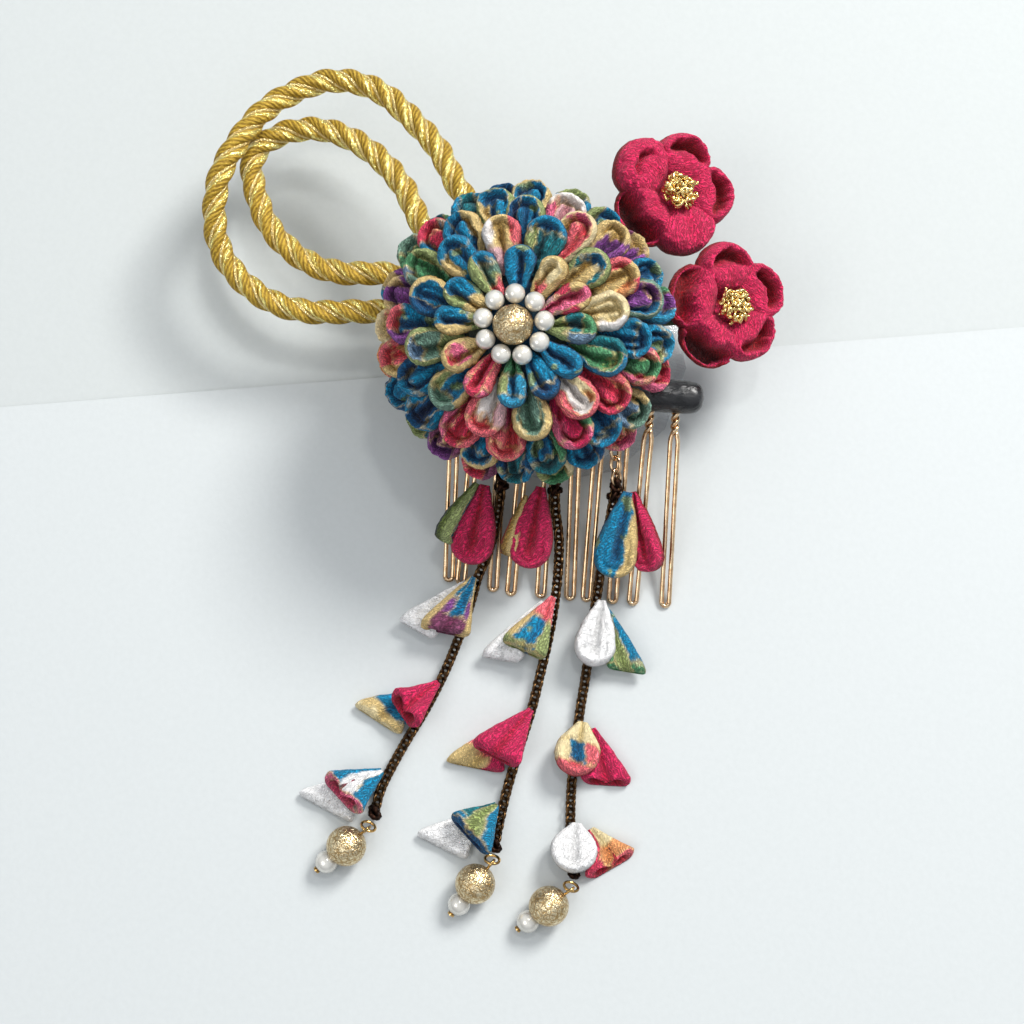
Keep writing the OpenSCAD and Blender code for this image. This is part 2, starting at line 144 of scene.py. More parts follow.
# Two petals a row, in the order of the petal tables below
PAIR_DYES = {
    "left": [["deep blue, root olive, slot teal, edge olive", "magenta"],
             ["pure white", "purple, root blue, slot blue, head plum, edge ochre"],
             ["blue, head ochre, mouth cream", "magenta"],
             ["pure white", "blue, right blue, slot pure white, left blue, mouth pink"]],
    "middle": [["coral, root olive, slot orange, edge ochre", "magenta"],
               ["pure white", "blue, edge ochre, left olive, root coral, mouth olive"],
               ["coral, head ochre, mouth ochre, left magenta", "magenta"],
               ["pure white", "teal, head blue, left blue, slot olive, mouth deep blue"]],
    "right": [["blue, left ochre", "magenta"],
              ["pure white", "blue, right green, mouth green, slot olive"],
              ["blue, right cream, left coral, head coral, root cream", "magenta"],
              ["pure white", "orange, root cream, mouth coral, right red"]],
}


def linear(colour):
    """Linear values of a colour given in 0 to 255."""
    c = np.asarray(colour, float) / 255
    return np.where(c < 0.04045, c / 12.92, ((c + 0.055) / 1.055) ** 2.4)


def ripple(points, size, seed):
    """Smooth noise from -1 to 1 at points in mm, with bumps of about that size."""
    return np.array([noise.noise(Vector(p) / size + Vector((seed, seed * 1.7, 0))) for p in points])


def ease(low, high, values):
    """Rises smoothly from 0 at low to 1 at high."""
    t = np.clip((values - low) / (high - low), 0, 1)
    return t * t * (3 - 2 * t)


def dye(words, along, across, rim, shade_depth, points, seed):
    """Colour of each point of a petal, with painted shade in its folds: along runs 0 to 1 to its head, across
    -1 to 1 to its left ridge, rim is how far in from its outline the point lies in mm, shade_depth how much
    painted shade it gets, deepest in its slot, mouth, crease and underside, and words names the colours."""
    main, *others = [part.strip() for part in words.split(",")]
    wander = 0.15 * ripple(points, 3.2, seed) + 0.07 * ripple(points, 1.0, seed + 5)
    a, c, r = along + wander, across + 1.5 * wander, rim + 2.4 * wander
    places = {
        "left": ease(0.28, 0.42, c), "right": ease(0.28, 0.42, -c), "head": ease(0.66, 0.78, a),
        "root": ease(0.46, 0.34, a), "slot": ease(0.5, 0.34, np.abs(c)), "edge": ease(1.25, 0.85, r),
        "mouth": ease(0.86, 0.97, a)}
    colour = np.tile(linear(DYES[main]), (len(points), 1))
    if main not in PLAIN:
        fleck = ease(0.4, 0.48, ripple(points, 2.8, seed + 11))
        other = "olive" if main in ("blue", "teal", "deep blue", "sage", "green", "sky") else "ochre"
        colour += 0.8 * fleck[:, None] * (linear(DYES[other]) - colour)
        depth = ripple(points, 2.4, seed + 23)
        colour *= 1 + 0.3 * depth[:, None]
    for other in others:
        place, name = other.split(" ", 1)
        share = places[place]
        blend = 4 * share * (1 - share)  # two dyes that meet run into ochre
        colour += share[:, None] * (linear(DYES[name]) - colour)
        if name not in PLAIN:
            colour += 0.6 * blend[:, None] * (linear(DYES["ochre"]) - colour)
    deep = np.clip(shade_depth, 0, 2)[:, None]  # painted shade: deeper in a fold, slot or mouth the colour is darker and fuller
    return np.clip(colour, 0, 1) ** (1 + 0.9 * deep) * (1 - 0.46 * deep)


# Shapes


def around(count):
    """That many angles round a circle."""
    return np.linspace(0, 2 * math.pi, count, endpoint=False)


def turned(x=0.0, y=0.0, z=0.0):
    """Rotation about X, then Y, then Z, in degrees."""
    about = [Matrix.Rotation(math.radians(angle), 3, axis) for angle, axis in ((z, "Z"), (y, "Y"), (x, "X"))]
    return np.array(about[0] @ about[1] @ about[2])


def through(rows, count, closed=False):
    """A smooth curve through the rows of a table, sampled at count places."""
    rows = np.asarray(rows, float)
    n = len(rows)
    if closed:
        t = np.arange(count) * n / count
        i = t.astype(int)
        picks = [rows[(i + k) % n] for k in (-1, 0, 1, 2)]
    else:
        padded = np.vstack([2 * rows[0] - rows[1], rows, 2 * rows[-1] - rows[-2]])
        t = np.linspace(0, n - 1, count)
        i = np.minimum(t.astype(int), n - 2)
        picks = [padded[i + k] for k in range(4)]
    f = (t - i)[:, None]
    a, b, c, d = picks
    return 0.5 * (2 * b + (c - a) * f + (2 * a - 5 * b + 4 * c - d) * f**2 + (3 * b - a - 3 * c + d) * f**3)


def distances(path):
    """How far along the path each of its points is."""
    return np.concatenate([[0], np.cumsum(np.linalg.norm(np.diff(path, axis=0), axis=1))])


def evenly(path, step):
    """The path again with points that far apart."""
    path = np.asarray(path, float)
    far = distances(path)
    at = np.linspace(0, far[-1], max(2, round(far[-1] / step) + 1))
    return np.stack([np.interp(at, far, path[:, k]) for k in range(3)], axis=1), at


def unit(vectors):
    vectors = np.asarray(vectors, float)
    return vectors / np.linalg.norm(vectors, axis=-1, keepdims=True)


def square_to(ahead, vectors):
    """Unit vectors square to ahead, from those given."""
    return unit(vectors - ahead * np.sum(vectors * ahead, axis=1)[:, None])


def frames(path):
    """Unit tangent and two normals at each point of a path, turned as little as possible on the way."""
    ahead = unit(np.gradient(path, axis=0))
    normal = np.array([0.0, 0.0, 1.0])
    normals = []
    for t in ahead:
        normal = normal - t * (normal @ t)
        if np.linalg.norm(normal) < 1e-6:
            normal = np.cross(t, [0.3, 0.9, 0.1])
        normal = unit(normal)
        normals.append(normal)
    normals = np.array(normals)
    return ahead, normals, np.cross(ahead, normals)


def round_ring(path, radius, sides, closed=False, outward=None):
    """Rings of points round a path, and each point's place on the tube: along, and across in two ways.
    A closed path's rings start away from its middle, the others on top or, where given, outward."""
    path = np.asarray(path, float)
    radius = np.broadcast_to(radius, (len(path),))
    ahead, normals, others = frames(path)
    if closed:
        ahead = unit(np.roll(path, -1, axis=0) - np.roll(path, 1, axis=0))
        outward = path - path.mean(axis=0)
    if outward is not None:
        normals = square_to(ahead, outward)
        others = np.cross(ahead, normals)
    turn = around(sides)
    out = np.cos(turn)[None, :, None] * normals[:, None] + np.sin(turn)[None, :, None] * others[:, None]
    rings = path[:, None] + radius[:, None, None] * out
    grain = np.stack([np.broadcast_to(distances(path)[:, None], rings.shape[:2]),
                      radius[:, None] * np.cos(turn), radius[:, None] * np.sin(turn)], axis=-1)
    return rings, grain


class Skin:
    """Gathers closed skins into one mesh. Each point keeps its dye, with painted shade where there is any,
    and its place on its petal or thread.
    """

    def __init__(self):
        self.points, self.faces, self.dyes, self.grains, self.count = [], [], [], [], 0

    def add(self, rings, grain, dyes=None, closed=False):
        """rings is rows of points, the same number in each, in mm over the surface."""
        rows, sides = rings.shape[:2]
        last = rows if closed else rows - 1
        row, k = np.meshgrid(np.arange(last), np.arange(sides), indexing="ij")
        corners = [row * sides + k, row * sides + (k + 1) % sides,
                   (row + 1) % rows * sides + (k + 1) % sides, (row + 1) % rows * sides + k]
        quads = np.stack(corners, axis=-1).reshape(-1, 4) + self.count
        self.faces += quads.tolist()
        if not closed:
            self.faces.append([self.count + i for i in reversed(range(sides))])
            self.faces.append([self.count + (rows - 1) * sides + i for i in range(sides)])
        self.points.append(rings.reshape(-1, 3))
        self.grains.append(grain.reshape(-1, 3))
        self.dyes.append(np.ones((rows * sides, 3)) if dyes is None else dyes)
        self.count += rows * sides

    def piece(self, name, material, slot, *nodes):
        """Makes the mesh. It stands for the named CAD nodes."""
        mesh = bpy.data.meshes.new(name)
        points = (np.vstack(self.points) - [0, 0, REST_Z]) * MM
        mesh.from_pydata(points.tolist(), [], self.faces)
        grain = mesh.attributes.new("grain", "FLOAT_VECTOR", "POINT")
        grain.data.foreach_set("vector", np.vstack(self.grains).astype(np.float32).ravel())
        # the dyes together with the painted shade of the folds
        colour = mesh.color_attributes.new("dye", "FLOAT_COLOR", "POINT")
        dyes = np.vstack(self.dyes)
        opaque = np.hstack([dyes, np.ones((len(dyes), 1))])
        colour.data.foreach_set("color", opaque.astype(np.float32).ravel())
        shape = bmesh.new()
        shape.from_mesh(mesh)
        bmesh.ops.recalc_face_normals(shape, faces=shape.faces)
        for face in shape.faces:
            face.smooth = True
        shape.to_mesh(mesh)
        shape.free()
        mesh.materials.append(material)
        piece = placed(name, mesh)
        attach(piece, "root")
        if nodes:
            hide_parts(*nodes)
        return piece


def crumpled(rings, amount, size, seed):
    """Pushes each point in or out from its ring's middle, as creased cloth does."""
    middle = rings.mean(axis=1, keepdims=True)
    out = rings - middle
    out /= np.maximum(np.linalg.norm(out, axis=2, keepdims=True), 1e-6)
    flat = rings.reshape(-1, 3)
    push = amount * (ripple(flat, size, seed) + 0.7 * ripple(flat, 0.4 * size, seed + 3))
    return rings + out * push.reshape(*rings.shape[:2], 1)


# Materials

NUMBERED = {"first": 0, "second": 1}  # inputs that go by their place


class Finish:
    """A material with a Principled shader and short ways to add nodes to it."""

    def __init__(self, name, **sockets):
        self.material = bpy.data.materials.new(name)
        self.material.use_nodes = True
        self.tree = self.material.node_tree
        self.shader = self.tree.nodes["Principled BSDF"]
        for socket, value in sockets.items():
            self.shader.inputs[socket.replace("_", " ")].default_value = value

    def node(self, kind, out=0, settings=(), **inputs):
        """Adds a node and returns one of its outputs. An input is a value or another output."""
        node = self.tree.nodes.new(kind)
        for name, value in dict(settings).items():
            setattr(node, name, value)
        for name, value in inputs.items():
            self.feed(node.inputs[NUMBERED.get(name, name.replace("_", " "))], value)
        return node.outputs[out]

    def feed(self, socket, value):
        if isinstance(value, bpy.types.NodeSocket):
            self.tree.links.new(value, socket)
        else:
            socket.default_value = value

    def math(self, operation, a, b=0.0):
        return self.node("ShaderNodeMath", settings={"operation": operation}, first=a, second=b)

    def sum(self, a, b):
        return self.math("ADD", a, b)

    def product(self, a, b):
        return self.math("MULTIPLY", a, b)

    def scaled(self, where, scale):
        settings = {"operation": "MULTIPLY"}
        return self.node("ShaderNodeVectorMath", settings=settings, first=where, second=scale)

    def attribute(self, name, out):
        return self.node("ShaderNodeAttribute", out=out, settings={"attribute_name": name})

    def place(self, scale=(1, 1, 1)):
        """Object coordinates in millimetres, stretched by scale."""
        return self.scaled(self.node("ShaderNodeTexCoord", out="Object"), [s / MM for s in scale])

    def grain(self, scale=(1, 1, 1)):
        """Place on the petal or thread itself, in millimetres, stretched by scale."""
        return self.scaled(self.attribute("grain", "Vector"), scale)

    def grain_parts(self):
        where = self.attribute("grain", "Vector")
        return [self.node("ShaderNodeSeparateXYZ", out=k, Vector=where) for k in range(3)]

    def noise(self, where, scale=1.0, detail=2.0, roughness=0.5, distortion=0.0):
        return self.node("ShaderNodeTexNoise", out="Fac", Vector=where, Scale=scale, Detail=detail,
                         Roughness=roughness, Distortion=distortion)

    def between(self, value, low, high, to_low=0.0, to_high=1.0):
        return self.node("ShaderNodeMapRange", Value=value, From_Min=low, From_Max=high, To_Min=to_low,
                         To_Max=to_high)

    def tones(self, value, low, high, dark, light):
        """Colour that goes from dark to light, both given in 0 to 255."""
        return self.mixed(self.between(value, low, high), linear(dark), linear(light))

    def mixed(self, share, a, b, blend="MIX"):
        node = self.tree.nodes.new("ShaderNodeMix")
        node.data_type = "RGBA"
        node.blend_type = blend
        for socket, value in ((0, share), (6, a), (7, b)):
            self.feed(node.inputs[socket], (*value, 1) if isinstance(value, np.ndarray) else value)
        return node.outputs[2]

    def grey(self, value):
        return self.node("ShaderNodeCombineColor", Red=value, Green=value, Blue=value)

    def use(self, colour, height, depth, strength=1.0, roughness=None, metallic=None):
        """Links what is given, and a bump of that depth in mm."""
        bump = self.node("ShaderNodeBump", Height=height, Distance=depth * MM, Strength=strength)
        given = {"Base Color": colour, "Roughness": roughness, "Metallic": metallic, "Normal": bump}
        for socket, value in given.items():
            if value is not None:
                self.feed(self.shader.inputs[socket], value)
        return self.material


def crepe():
    """Silk crepe: crinkles two millimetres long, with painted light on their crests and painted shade in the
    valleys between, and a soft sheen.
    """
    f = Finish("crepe", Roughness=0.8, Specular_IOR_Level=0.3, Sheen_Weight=0.08, Sheen_Roughness=0.5)
    _, across, up = f.grain_parts()
    drift = f.noise(f.grain((0.55, 0.9, 0.9)), 1.15, 3.0, 0.6, 0.6)
    phase = f.sum(f.product(f.sum(across, up), 7.6), f.product(drift, 26.0))
    crests = f.between(f.math("SINE", phase), -0.5, 1.0)
    fibres = f.noise(f.grain((1.0, 2.2, 2.2)), 1.1, 2.0, 0.6, 0.8)
    broken = f.between(f.noise(f.grain(), 0.9), 0.36, 0.6, 0.25, 1.0)
    height = f.sum(f.product(f.product(crests, broken), 0.62), f.product(fibres, 0.5))
    # painted light and shade: the dye is lightened on the crinkles' crests and darkened between them
    light = f.between(height, 0.2, 0.85, 0.42, 1.75)
    dye = f.attribute("dye", "Color")
    pale = f.between(f.node("ShaderNodeRGBToBW", Color=dye), 0.3, 0.8, 0.0, 0.8)
    light = f.node("ShaderNodeMix", Factor=pale, A=light, B=1.0)
    return f.use(f.mixed(1.0, dye, f.grey(light), "MULTIPLY"), height, depth=0.5)


def gold_cord():
    """Fine gold threads laid slanting round each strand, and a band of foil along one of its flanks."""
    f = Finish("gold_cord", Specular_IOR_Level=0.6)
    along, across, up = f.grain_parts()
    turn = f.math("ARCTAN2", up, across)
    phase = f.sum(f.product(turn, 7.0), f.product(along, -3.0))
    threads = f.math("SINE", f.sum(phase, f.product(f.noise(f.grain(), 0.9), 5.0)))
    specks = f.noise(f.grain((1.2, 1.6, 1.6)), 1.3, 3.0, 0.7, 0.8)
    wander = f.product(f.sum(f.noise(f.grain(), 0.35, 2.0, 0.6), -0.5), 1.6)
    off = f.math("ABSOLUTE", f.sum(f.sum(turn, -0.75), wander))
    foil = f.between(f.sum(off, f.product(f.sum(specks, -0.5), 2.2)), 0.2, 0.34, 1.0, 0.0)
    height = f.sum(f.product(threads, 0.16), specks)
    base = f.tones(height, 0.3, 0.75, (132, 102, 12), (206, 170, 58))
    return f.use(f.mixed(foil, base, linear((255, 242, 156))), height, depth=0.35,
                 roughness=f.between(foil, 0.0, 1.0, 0.5, 0.2),
                 metallic=f.between(foil, 0.0, 1.0, 0.35, 0.95))


def gold_thread():
    """Bright twisted thread in the cord's grooves."""
    f = Finish("gold_thread", Metallic=0.9, Specular_IOR_Level=0.8)
    specks = f.noise(f.grain((1, 1.5, 1.5)), 2.6, 3.0, 0.7, 0.8)
    return f.use(f.tones(specks, 0.35, 0.6, (190, 146, 46), (255, 240, 178)), specks, depth=0.3,
                 roughness=f.between(specks, 0.35, 0.65, 0.38, 0.16))


def metal(name, colour, roughness, depth, dark=None, size=1.5):
    """Metal with faint tarnish and wear, in spots of about that size in mm."""
    f = Finish(name, Metallic=1.0)
    spots = f.noise(f.place(), 1 / size, 3.0, 0.6)
    dark = dark or [0.62 * c for c in colour]
    return f.use(f.tones(spots, 0.35, 0.6, dark, colour), spots, depth,
                 roughness=f.between(spots, 0.3, 0.7, roughness * 1.3, roughness * 0.75))


def stardust():
    """Gold bead with a frosted, crystalline surface."""
    f = Finish("stardust_gold", Metallic=1.0)
    to_edge = {"feature": "DISTANCE_TO_EDGE"}
    cracks = f.node("ShaderNodeTexVoronoi", out="Distance", settings=to_edge, Vector=f.place(), Scale=0.9)
    ridges = f.noise(f.place(), 1.1, 3.0, 0.65, 1.6)
    height = f.sum(f.product(f.between(cracks, 0.0, 0.16), 0.22), ridges)
    return f.use(f.tones(height, 0.5, 0.9, (176, 146, 98), (250, 236, 198)), height, depth=0.26, strength=0.8,
                 roughness=f.between(ridges, 0.35, 0.65, 0.32, 0.18))


def pearl():
    """Milky white, with painted shade that darkens it towards its outline."""
    f = Finish("pearl", Metallic=0.35, Roughness=0.2, Specular_IOR_Level=0.7, Coat_Weight=0.8,
               Coat_Roughness=0.05)
    cloud = f.noise(f.place(), 0.5)
    facing = f.node("ShaderNodeLayerWeight", out="Facing", Blend=0.35)
    milk = f.tones(cloud, 0.35, 0.65, (212, 209, 200), (228, 226, 219))
    # painted shade: the colour darkens towards the outline as the surface turns away
    painted_rim_shade = f.between(facing, 0.2, 1.0, 0.0, 0.6)
    return f.use(f.mixed(painted_rim_shade, milk, linear((132, 130, 124))), cloud, depth=0.02)


def black_tape():
    """Glossy wrapped tape with soft folds."""
    f = Finish("black_tape", Roughness=0.3, Specular_IOR_Level=0.45, Coat_Weight=0.15, Coat_Roughness=0.15)
    folds = f.noise(f.place((0.5, 1, 1)), 0.6, 3.0, 0.55, 0.8)
    return f.use(f.tones(folds, 0.3, 0.7, (14, 15, 17), (34, 35, 38)), folds, depth=0.5, strength=0.7,
                 roughness=f.between(folds, 0.3, 0.7, 0.2, 0.42))


def clear_plastic():
    f = Finish("clear_plastic", Roughness=0.08, Specular_IOR_Level=0.6, Alpha=0.3, IOR=1.49)
    cloud = f.noise(f.place(), 0.12)
    return f.use(f.tones(cloud, 0.3, 0.7, (214, 220, 224), (236, 240, 242)), cloud, depth=0.05)


def stem_tape():
    f = Finish("stem_tape", Roughness=0.6)
    wraps = f.noise(f.place(), 0.9, 2.0, 0.5, 1.0)
    return f.use(f.tones(wraps, 0.35, 0.65, (44, 56, 34), (72, 84, 52)), wraps, depth=0.3)


def backing():
    """Dyed crepe under the petals, with painted light and shade on its crinkles."""
    f = Finish("crepe_backing", Roughness=0.9, Specular_IOR_Level=0.2, Sheen_Weight=0.2)
    patches = f.noise(f.place(), 0.25)
    crinkle = f.noise(f.place(), 1.25, 3.0, 0.62, 1.3)
    # painted light and shade: lighter on the crinkles' crests, darker between them
    shade = f.grey(f.between(crinkle, 0.35, 0.65, 0.6, 1.2))
    dyed = f.tones(patches, 0.4, 0.6, (10, 62, 92), (60, 70, 52))
    return f.use(f.mixed(1.0, dyed, shade, "MULTIPLY"), crinkle, depth=0.4)


CREPE = crepe()
GOLD_CORD = gold_cord()
GOLD_THREAD = gold_thread()
GILT = metal("gilt_wire", (236, 206, 168), 0.14, 0.01, dark=(206, 168, 126))
BRONZE = metal("bronze_chain", (106, 78, 48), 0.2, 0.05, dark=(26, 18, 14), size=0.9)
KNOT_BLACK = metal("knot_black", (52, 34, 26), 0.45, 0.2, dark=(20, 14, 12), size=0.6)
FINDING = metal("gold_finding", (232, 190, 120), 0.18, 0.01)
STAMEN = metal("stamen_gold", (244, 222, 156), 0.22, 0.15, dark=(186, 144, 74), size=0.6)
STARDUST = stardust()
PEARL = pearl()
BLACK_TAPE = black_tape()
CLEAR = clear_plastic()
STEM_TAPE = stem_tape()
BACKING = backing()


# Folded petals

# Folds say how far in from the outline in mm and share of the petal's height. Ridges and undersides say
# how far along the petal and share of its height, or height in mm.
PLAIN_FOLD = [[0, 0.26], [0.2, 0.6], [0.5, 0.86], [0.95, 1], [1.6, 1.02], [2.6, 0.98], [4.4, 0.94]]
ROLLED_FOLD = [
    [0, 0.26], [0.2, 0.6], [0.5, 0.86], [0.95, 1], [1.3, 0.98], [1.6, 0.8], [1.85, 0.44], [2.15, 0.36],
    [2.45, 0.62], [2.8, 0.84], [3.4, 0.96], [4.4, 1]]
BLOSSOM_FOLD = [[0, 0.3], [0.25, 0.56], [0.6, 0.8], [1.2, 0.92], [2.2, 0.97], [3.8, 1], [6.8, 1]]
RECESS_FOLD = [
    [0, 0.3], [0.3, 0.7], [0.8, 0.94], [1.3, 1], [1.7, 0.94], [2.0, 0.62], [2.3, 0.42], [3.4, 0.4],
    [3.9, 0.6], [4.7, 0.8], [5.6, 0.9], [6.8, 0.92]]
GROOVE_FOLD = [
    [0, 0.3], [0.3, 0.62], [0.8, 0.8], [1.8, 0.94], [3.0, 1.02], [3.5, 0.9], [3.9, 0.6], [4.4, 0.62],
    [4.8, 0.86], [5.6, 0.94], [6.8, 0.95]]
MOUTH_FOLD = [
    [0, 0.14], [0.25, 0.26], [0.7, 0.3], [1.0, 0.22], [1.25, 0.04], [4.0, 0.02], [4.3, 0.5], [4.7, 0.84],
    [5.4, 0.98], [6.8, 0.96]]
PETAL_RIDGE = [[0, 0.26], [0.2, 0.46], [0.43, 0.7], [0.66, 0.93], [0.83, 1], [0.94, 0.97], [1, 0.9]]
FLAT_UNDER = [[0, 0], [1, 0]]
ROOT_WIDTH = 0.22
PLUM_RIDGE = [[0, 0.3], [0.14, 0.4], [0.28, 0.8], [0.4, 0.94], [0.6, 1], [0.8, 1], [1, 0.94]]
PLUM_UNDER = [[0, -1], [0.12, -0.6], [0.3, 0.4], [0.6, 0.9], [0.85, 1.5], [1, 3.2]]
OPEN_ROWS = [  # along, half width, ridge height, height of the slot between the ridges
    [0, 0.12, 0.36, 0.32], [0.25, 0.37, 0.58, 0.50], [0.5, 0.62, 0.78, 0.60], [0.72, 0.84, 0.94, 0.62],
    [0.88, 0.98, 1, 0.52], [0.96, 0.94, 0.98, 0.42], [1, 0.84, 0.88, 0.34]]
PINCHED_ROWS = [
    [0, 0.12, 0.36, 0.32], [0.25, 0.37, 0.58, 0.48], [0.5, 0.62, 0.78, 0.62], [0.72, 0.84, 0.9, 0.74],
    [0.88, 0.97, 0.92, 0.74], [0.95, 0.97, 0.8, 0.64], [0.99, 0.9, 0.6, 0.46], [1, 0.82, 0.46, 0.34]]
OPEN_FOLD = [  # half a section: across, share of the ridge's height, share of the slot's height
    [0, 0, 0], [0.5, 0, 0], [0.86, 0.05, 0], [1.0, 0.3, 0], [1.02, 0.62, 0], [0.9, 0.9, 0], [0.66, 1, 0],
    [0.42, 0.88, 0.08], [0.23, 0.45, 0.5], [0.1, 0.12, 0.86], [0, 0, 1]]


def looked_up(table, at):
    table = np.asarray(table, float)
    return np.interp(at, table[:, 0], table[:, 1])


def round_petal(length, width, height, left, right, head, seed, crease, crease_at=0.0, reach=1.1,
                fold=ROLLED_FOLD, closed=PLAIN_FOLD, ridge=PETAL_RIDGE, under=FLAT_UNDER, spread=0.0,
                ragged=0.48, rows=44, over=46, below=12):
    """Rings of a petal folded from a square of crepe, from the origin to +X, and each point's along, across,
    rim and painted shade, as dye takes them. Its rim rolls round the head. left, right and head say
    how far its fold opens there, reach how far round the head, and crease how deep the middle is creased."""
    big = width / 2
    turn_x = length - big
    share = np.linspace(0, 1, rows)
    # half the width at each ring: it widens from the root and is round from turn_x on
    round_head = turn_x + big * np.sin(np.clip((share - 0.55) / 0.45, 0, 1) * 1.5)
    xs = np.where(share < 0.55, turn_x * share / 0.55, round_head)
    tapered = big * (ROOT_WIDTH + (1 - ROOT_WIDTH) * np.sin(math.pi / 2 * np.clip(xs / turn_x, 0, 1)) ** 1.1)
    half = np.where(xs < turn_x, tapered, np.sqrt(np.maximum(big**2 - (xs - turn_x) ** 2, 0.02)))
    if spread:
        half = ((0.8 + spread * xs) ** -6 + np.where(xs < turn_x, big, half) ** -6) ** (-1 / 6)
    top = np.sin(np.linspace(-math.pi / 2, math.pi / 2, over))
    bottom = np.linspace(1, -1, below + 2)[1:-1]
    c = np.concatenate([top, bottom])[None, :]
    x = xs[:, None] + 0 * c
    y = half[:, None] * c
    # how far in from the outline each point lies
    rim = np.maximum(np.minimum(half[:, None] - np.abs(y), big - np.hypot(np.maximum(x - turn_x, 0), y)), 0)
    flat = np.stack([x, y, 0 * x], axis=-1).reshape(-1, 3)
    waver = (ripple(flat, 2.4, seed + 31) + 0.6 * ripple(flat, 0.9, seed + 37)).reshape(x.shape)
    rim = np.maximum(rim + ragged * waver * ease(0.1, 1.0, rim), 0)
    # how far the fold opens there, and the height that this gives
    near_head = ease(0.5, 0.74, x / length)
    sides = np.where(y > 0, left, right) * ease(0.12, 0.34, x / length)
    opened = near_head * head + (1 - near_head) * sides
    opened = opened * (1 - ease(0.62 * reach, 0.94 * reach, np.abs(y) / big * near_head))
    share = (1 - opened) * looked_up(closed, rim) + opened * looked_up(fold, rim)
    floor = looked_up(under, x / length)
    tall = height * looked_up(ridge, x / length)
    # the crease down the middle, and the painted shade of each point: darker deep in an open fold, in the
    # crease and along the low outline
    line = crease_at * big * np.sin(math.pi * np.clip(x / length, 0, 1)) + 0.8 * ragged * waver
    valley = np.exp(-((y - line) / (0.17 * big * (0.5 + x / length))) ** 2)
    cut = crease * valley * (1 - ease(0.7, 0.92, x / length))
    z = floor + (tall - floor) * share * (1 - 0.8 * cut)
    fold_shade = np.clip((0.86 - share) / 0.5, 0, 2) * (rim > 1.1) * opened + 0.9 * cut
    fold_shade = fold_shade + 0.9 * ease(0.64, 0.3, share) * (rim < 0.5)
    is_top = np.concatenate([np.ones(over, bool), np.zeros(below, bool)])[None, :]
    low = floor + 0.1 * (1 - np.sqrt(np.clip(1 - c**2, 0, 1)))
    z = np.where(is_top, z, low)
    rings = np.stack([x, y, z], axis=-1)
    # the underside gets painted shade throughout
    return rings, x / length, y / big, np.where(is_top, rim, 3.0), np.where(is_top, fold_shade, 0.9)


def open_petal(length, width, height, slant, pinched, seed):
    """A petal cut straight at its far end, pinched shut or left open, described as round_petal's are."""
    rows, sides = 34, 44
    spine = through(PINCHED_ROWS if pinched else OPEN_ROWS, rows)
    other_half = [[-across, ridge, slot] for across, ridge, slot in OPEN_FOLD[-2:0:-1]]
    fold = through(OPEN_FOLD + other_half, sides, closed=True)
    x, w, ridge, slot = (spine[:, k, None] for k in range(4))
    w = np.maximum(w, 0.04) * width / 2
    across = np.broadcast_to(fold[:, 0], (rows, sides))
    shift = 0.08 * width * math.sin(seed * 3.1) * np.sin(3.0 * x) * (1 - across**2)
    z = height * (fold[:, 1] * ridge + fold[:, 2] * slot)
    y = w * across + shift
    along = np.broadcast_to(x, (rows, sides))
    xs = x * length + slant * y * x**2 - (0.2 if pinched else 0.55) * z * np.clip(x, 0, 1) ** 4
    rings = np.stack([xs, y, z], axis=-1)
    # painted shade along the middle of the slot
    shade_depth = np.where(np.abs(across) < 0.3, 0.55 * (1 - np.abs(across) / 0.3), 0.0) * (z > 0.05 * height)
    lip = rings[-1:]  # the cloth's thickness, then the hollow behind it
    middle = lip.mean(axis=1, keepdims=True)
    wall = middle + (lip - middle) * 0.76
    deep = middle + (lip - middle) * 0.45 - [0.34 * length, 0, 0]
    rings = np.concatenate([rings, wall - [0.15, 0, 0], (wall + deep) / 2, deep])
    along = np.vstack([along, np.full((3, sides), 0.99)])
    across = np.vstack([across, np.tile(across[-1], (3, 1))])
    # painted shade in the hollow behind the lip, darkest at its back
    shade_depth = np.vstack([shade_depth * 0.6, np.repeat([[0.5], [0.9], [1.0]], sides, axis=1)])
    return rings, along, across, 4 * (1 - np.abs(across)), shade_depth


def add_petal(skin, shape, words, turn, place, seed, crumple=0.32):
    """Dyes a petal and paints shade into its folds, crumples it and sets it in place. Its seed shifts its
    patterns.
    """
    rings, *marks = shape
    shift = [seed * 13.7, 0, 0]
    dyes = dye(words, *(mark.ravel() for mark in marks), rings.reshape(-1, 3) + shift, seed)
    bias = turned(z=35 * math.sin(seed * 5.3) + 20)
    grain = rings @ bias.T + shift
    rings = crumpled(rings, crumple, 2.2, seed) @ turn.T + place
    skin.add(rings, grain, dyes)


# Chrysanthemum

PETALS_PER_RING = 12
PETAL_W = 8.4
KIKU_AT = (-8.8, 8.4, 24)
KIKU_LEAN = (13, -5.5, 0)
KIKU_RINGS = [  # root radius, root height, length, width share, height, droop, turn
    [5.5, 24.3, 10.8, 0.74, 3.3, 2, 0.5],
    [10.4, 21.6, 12.5, 0.96, 3.5, 7, 15.5],
    [14.5, 18.9, 12.5, 1, 3.5, 15, 0.5],
    [17.4, 15.9, 12.5, 1, 3.5, 25, 15.5],
    [19.7, 13.1, 12.5, 1, 3.5, 37, 0.5],
    [22, 9.9, 12, 1, 3.5, 52, 15.5]]
KIKU_FOLDS = [  # how far the fold opens left, right and round the head, depth and place of the crease
    [1, 0.35, 1, 0.5, -0.3], [0.4, 1, 1, 0.45, 0.25], [1, 1, 0.9, 0.6, 0], [0.2, 0.9, 0.9, 0.8, -0.1],
    [0.9, 0.15, 0.8, 0.85, 0.2], [0.3, 0.3, 0.9, 0.95, 0.05], [1, 0.8, 1, 0.2, 0.1]]


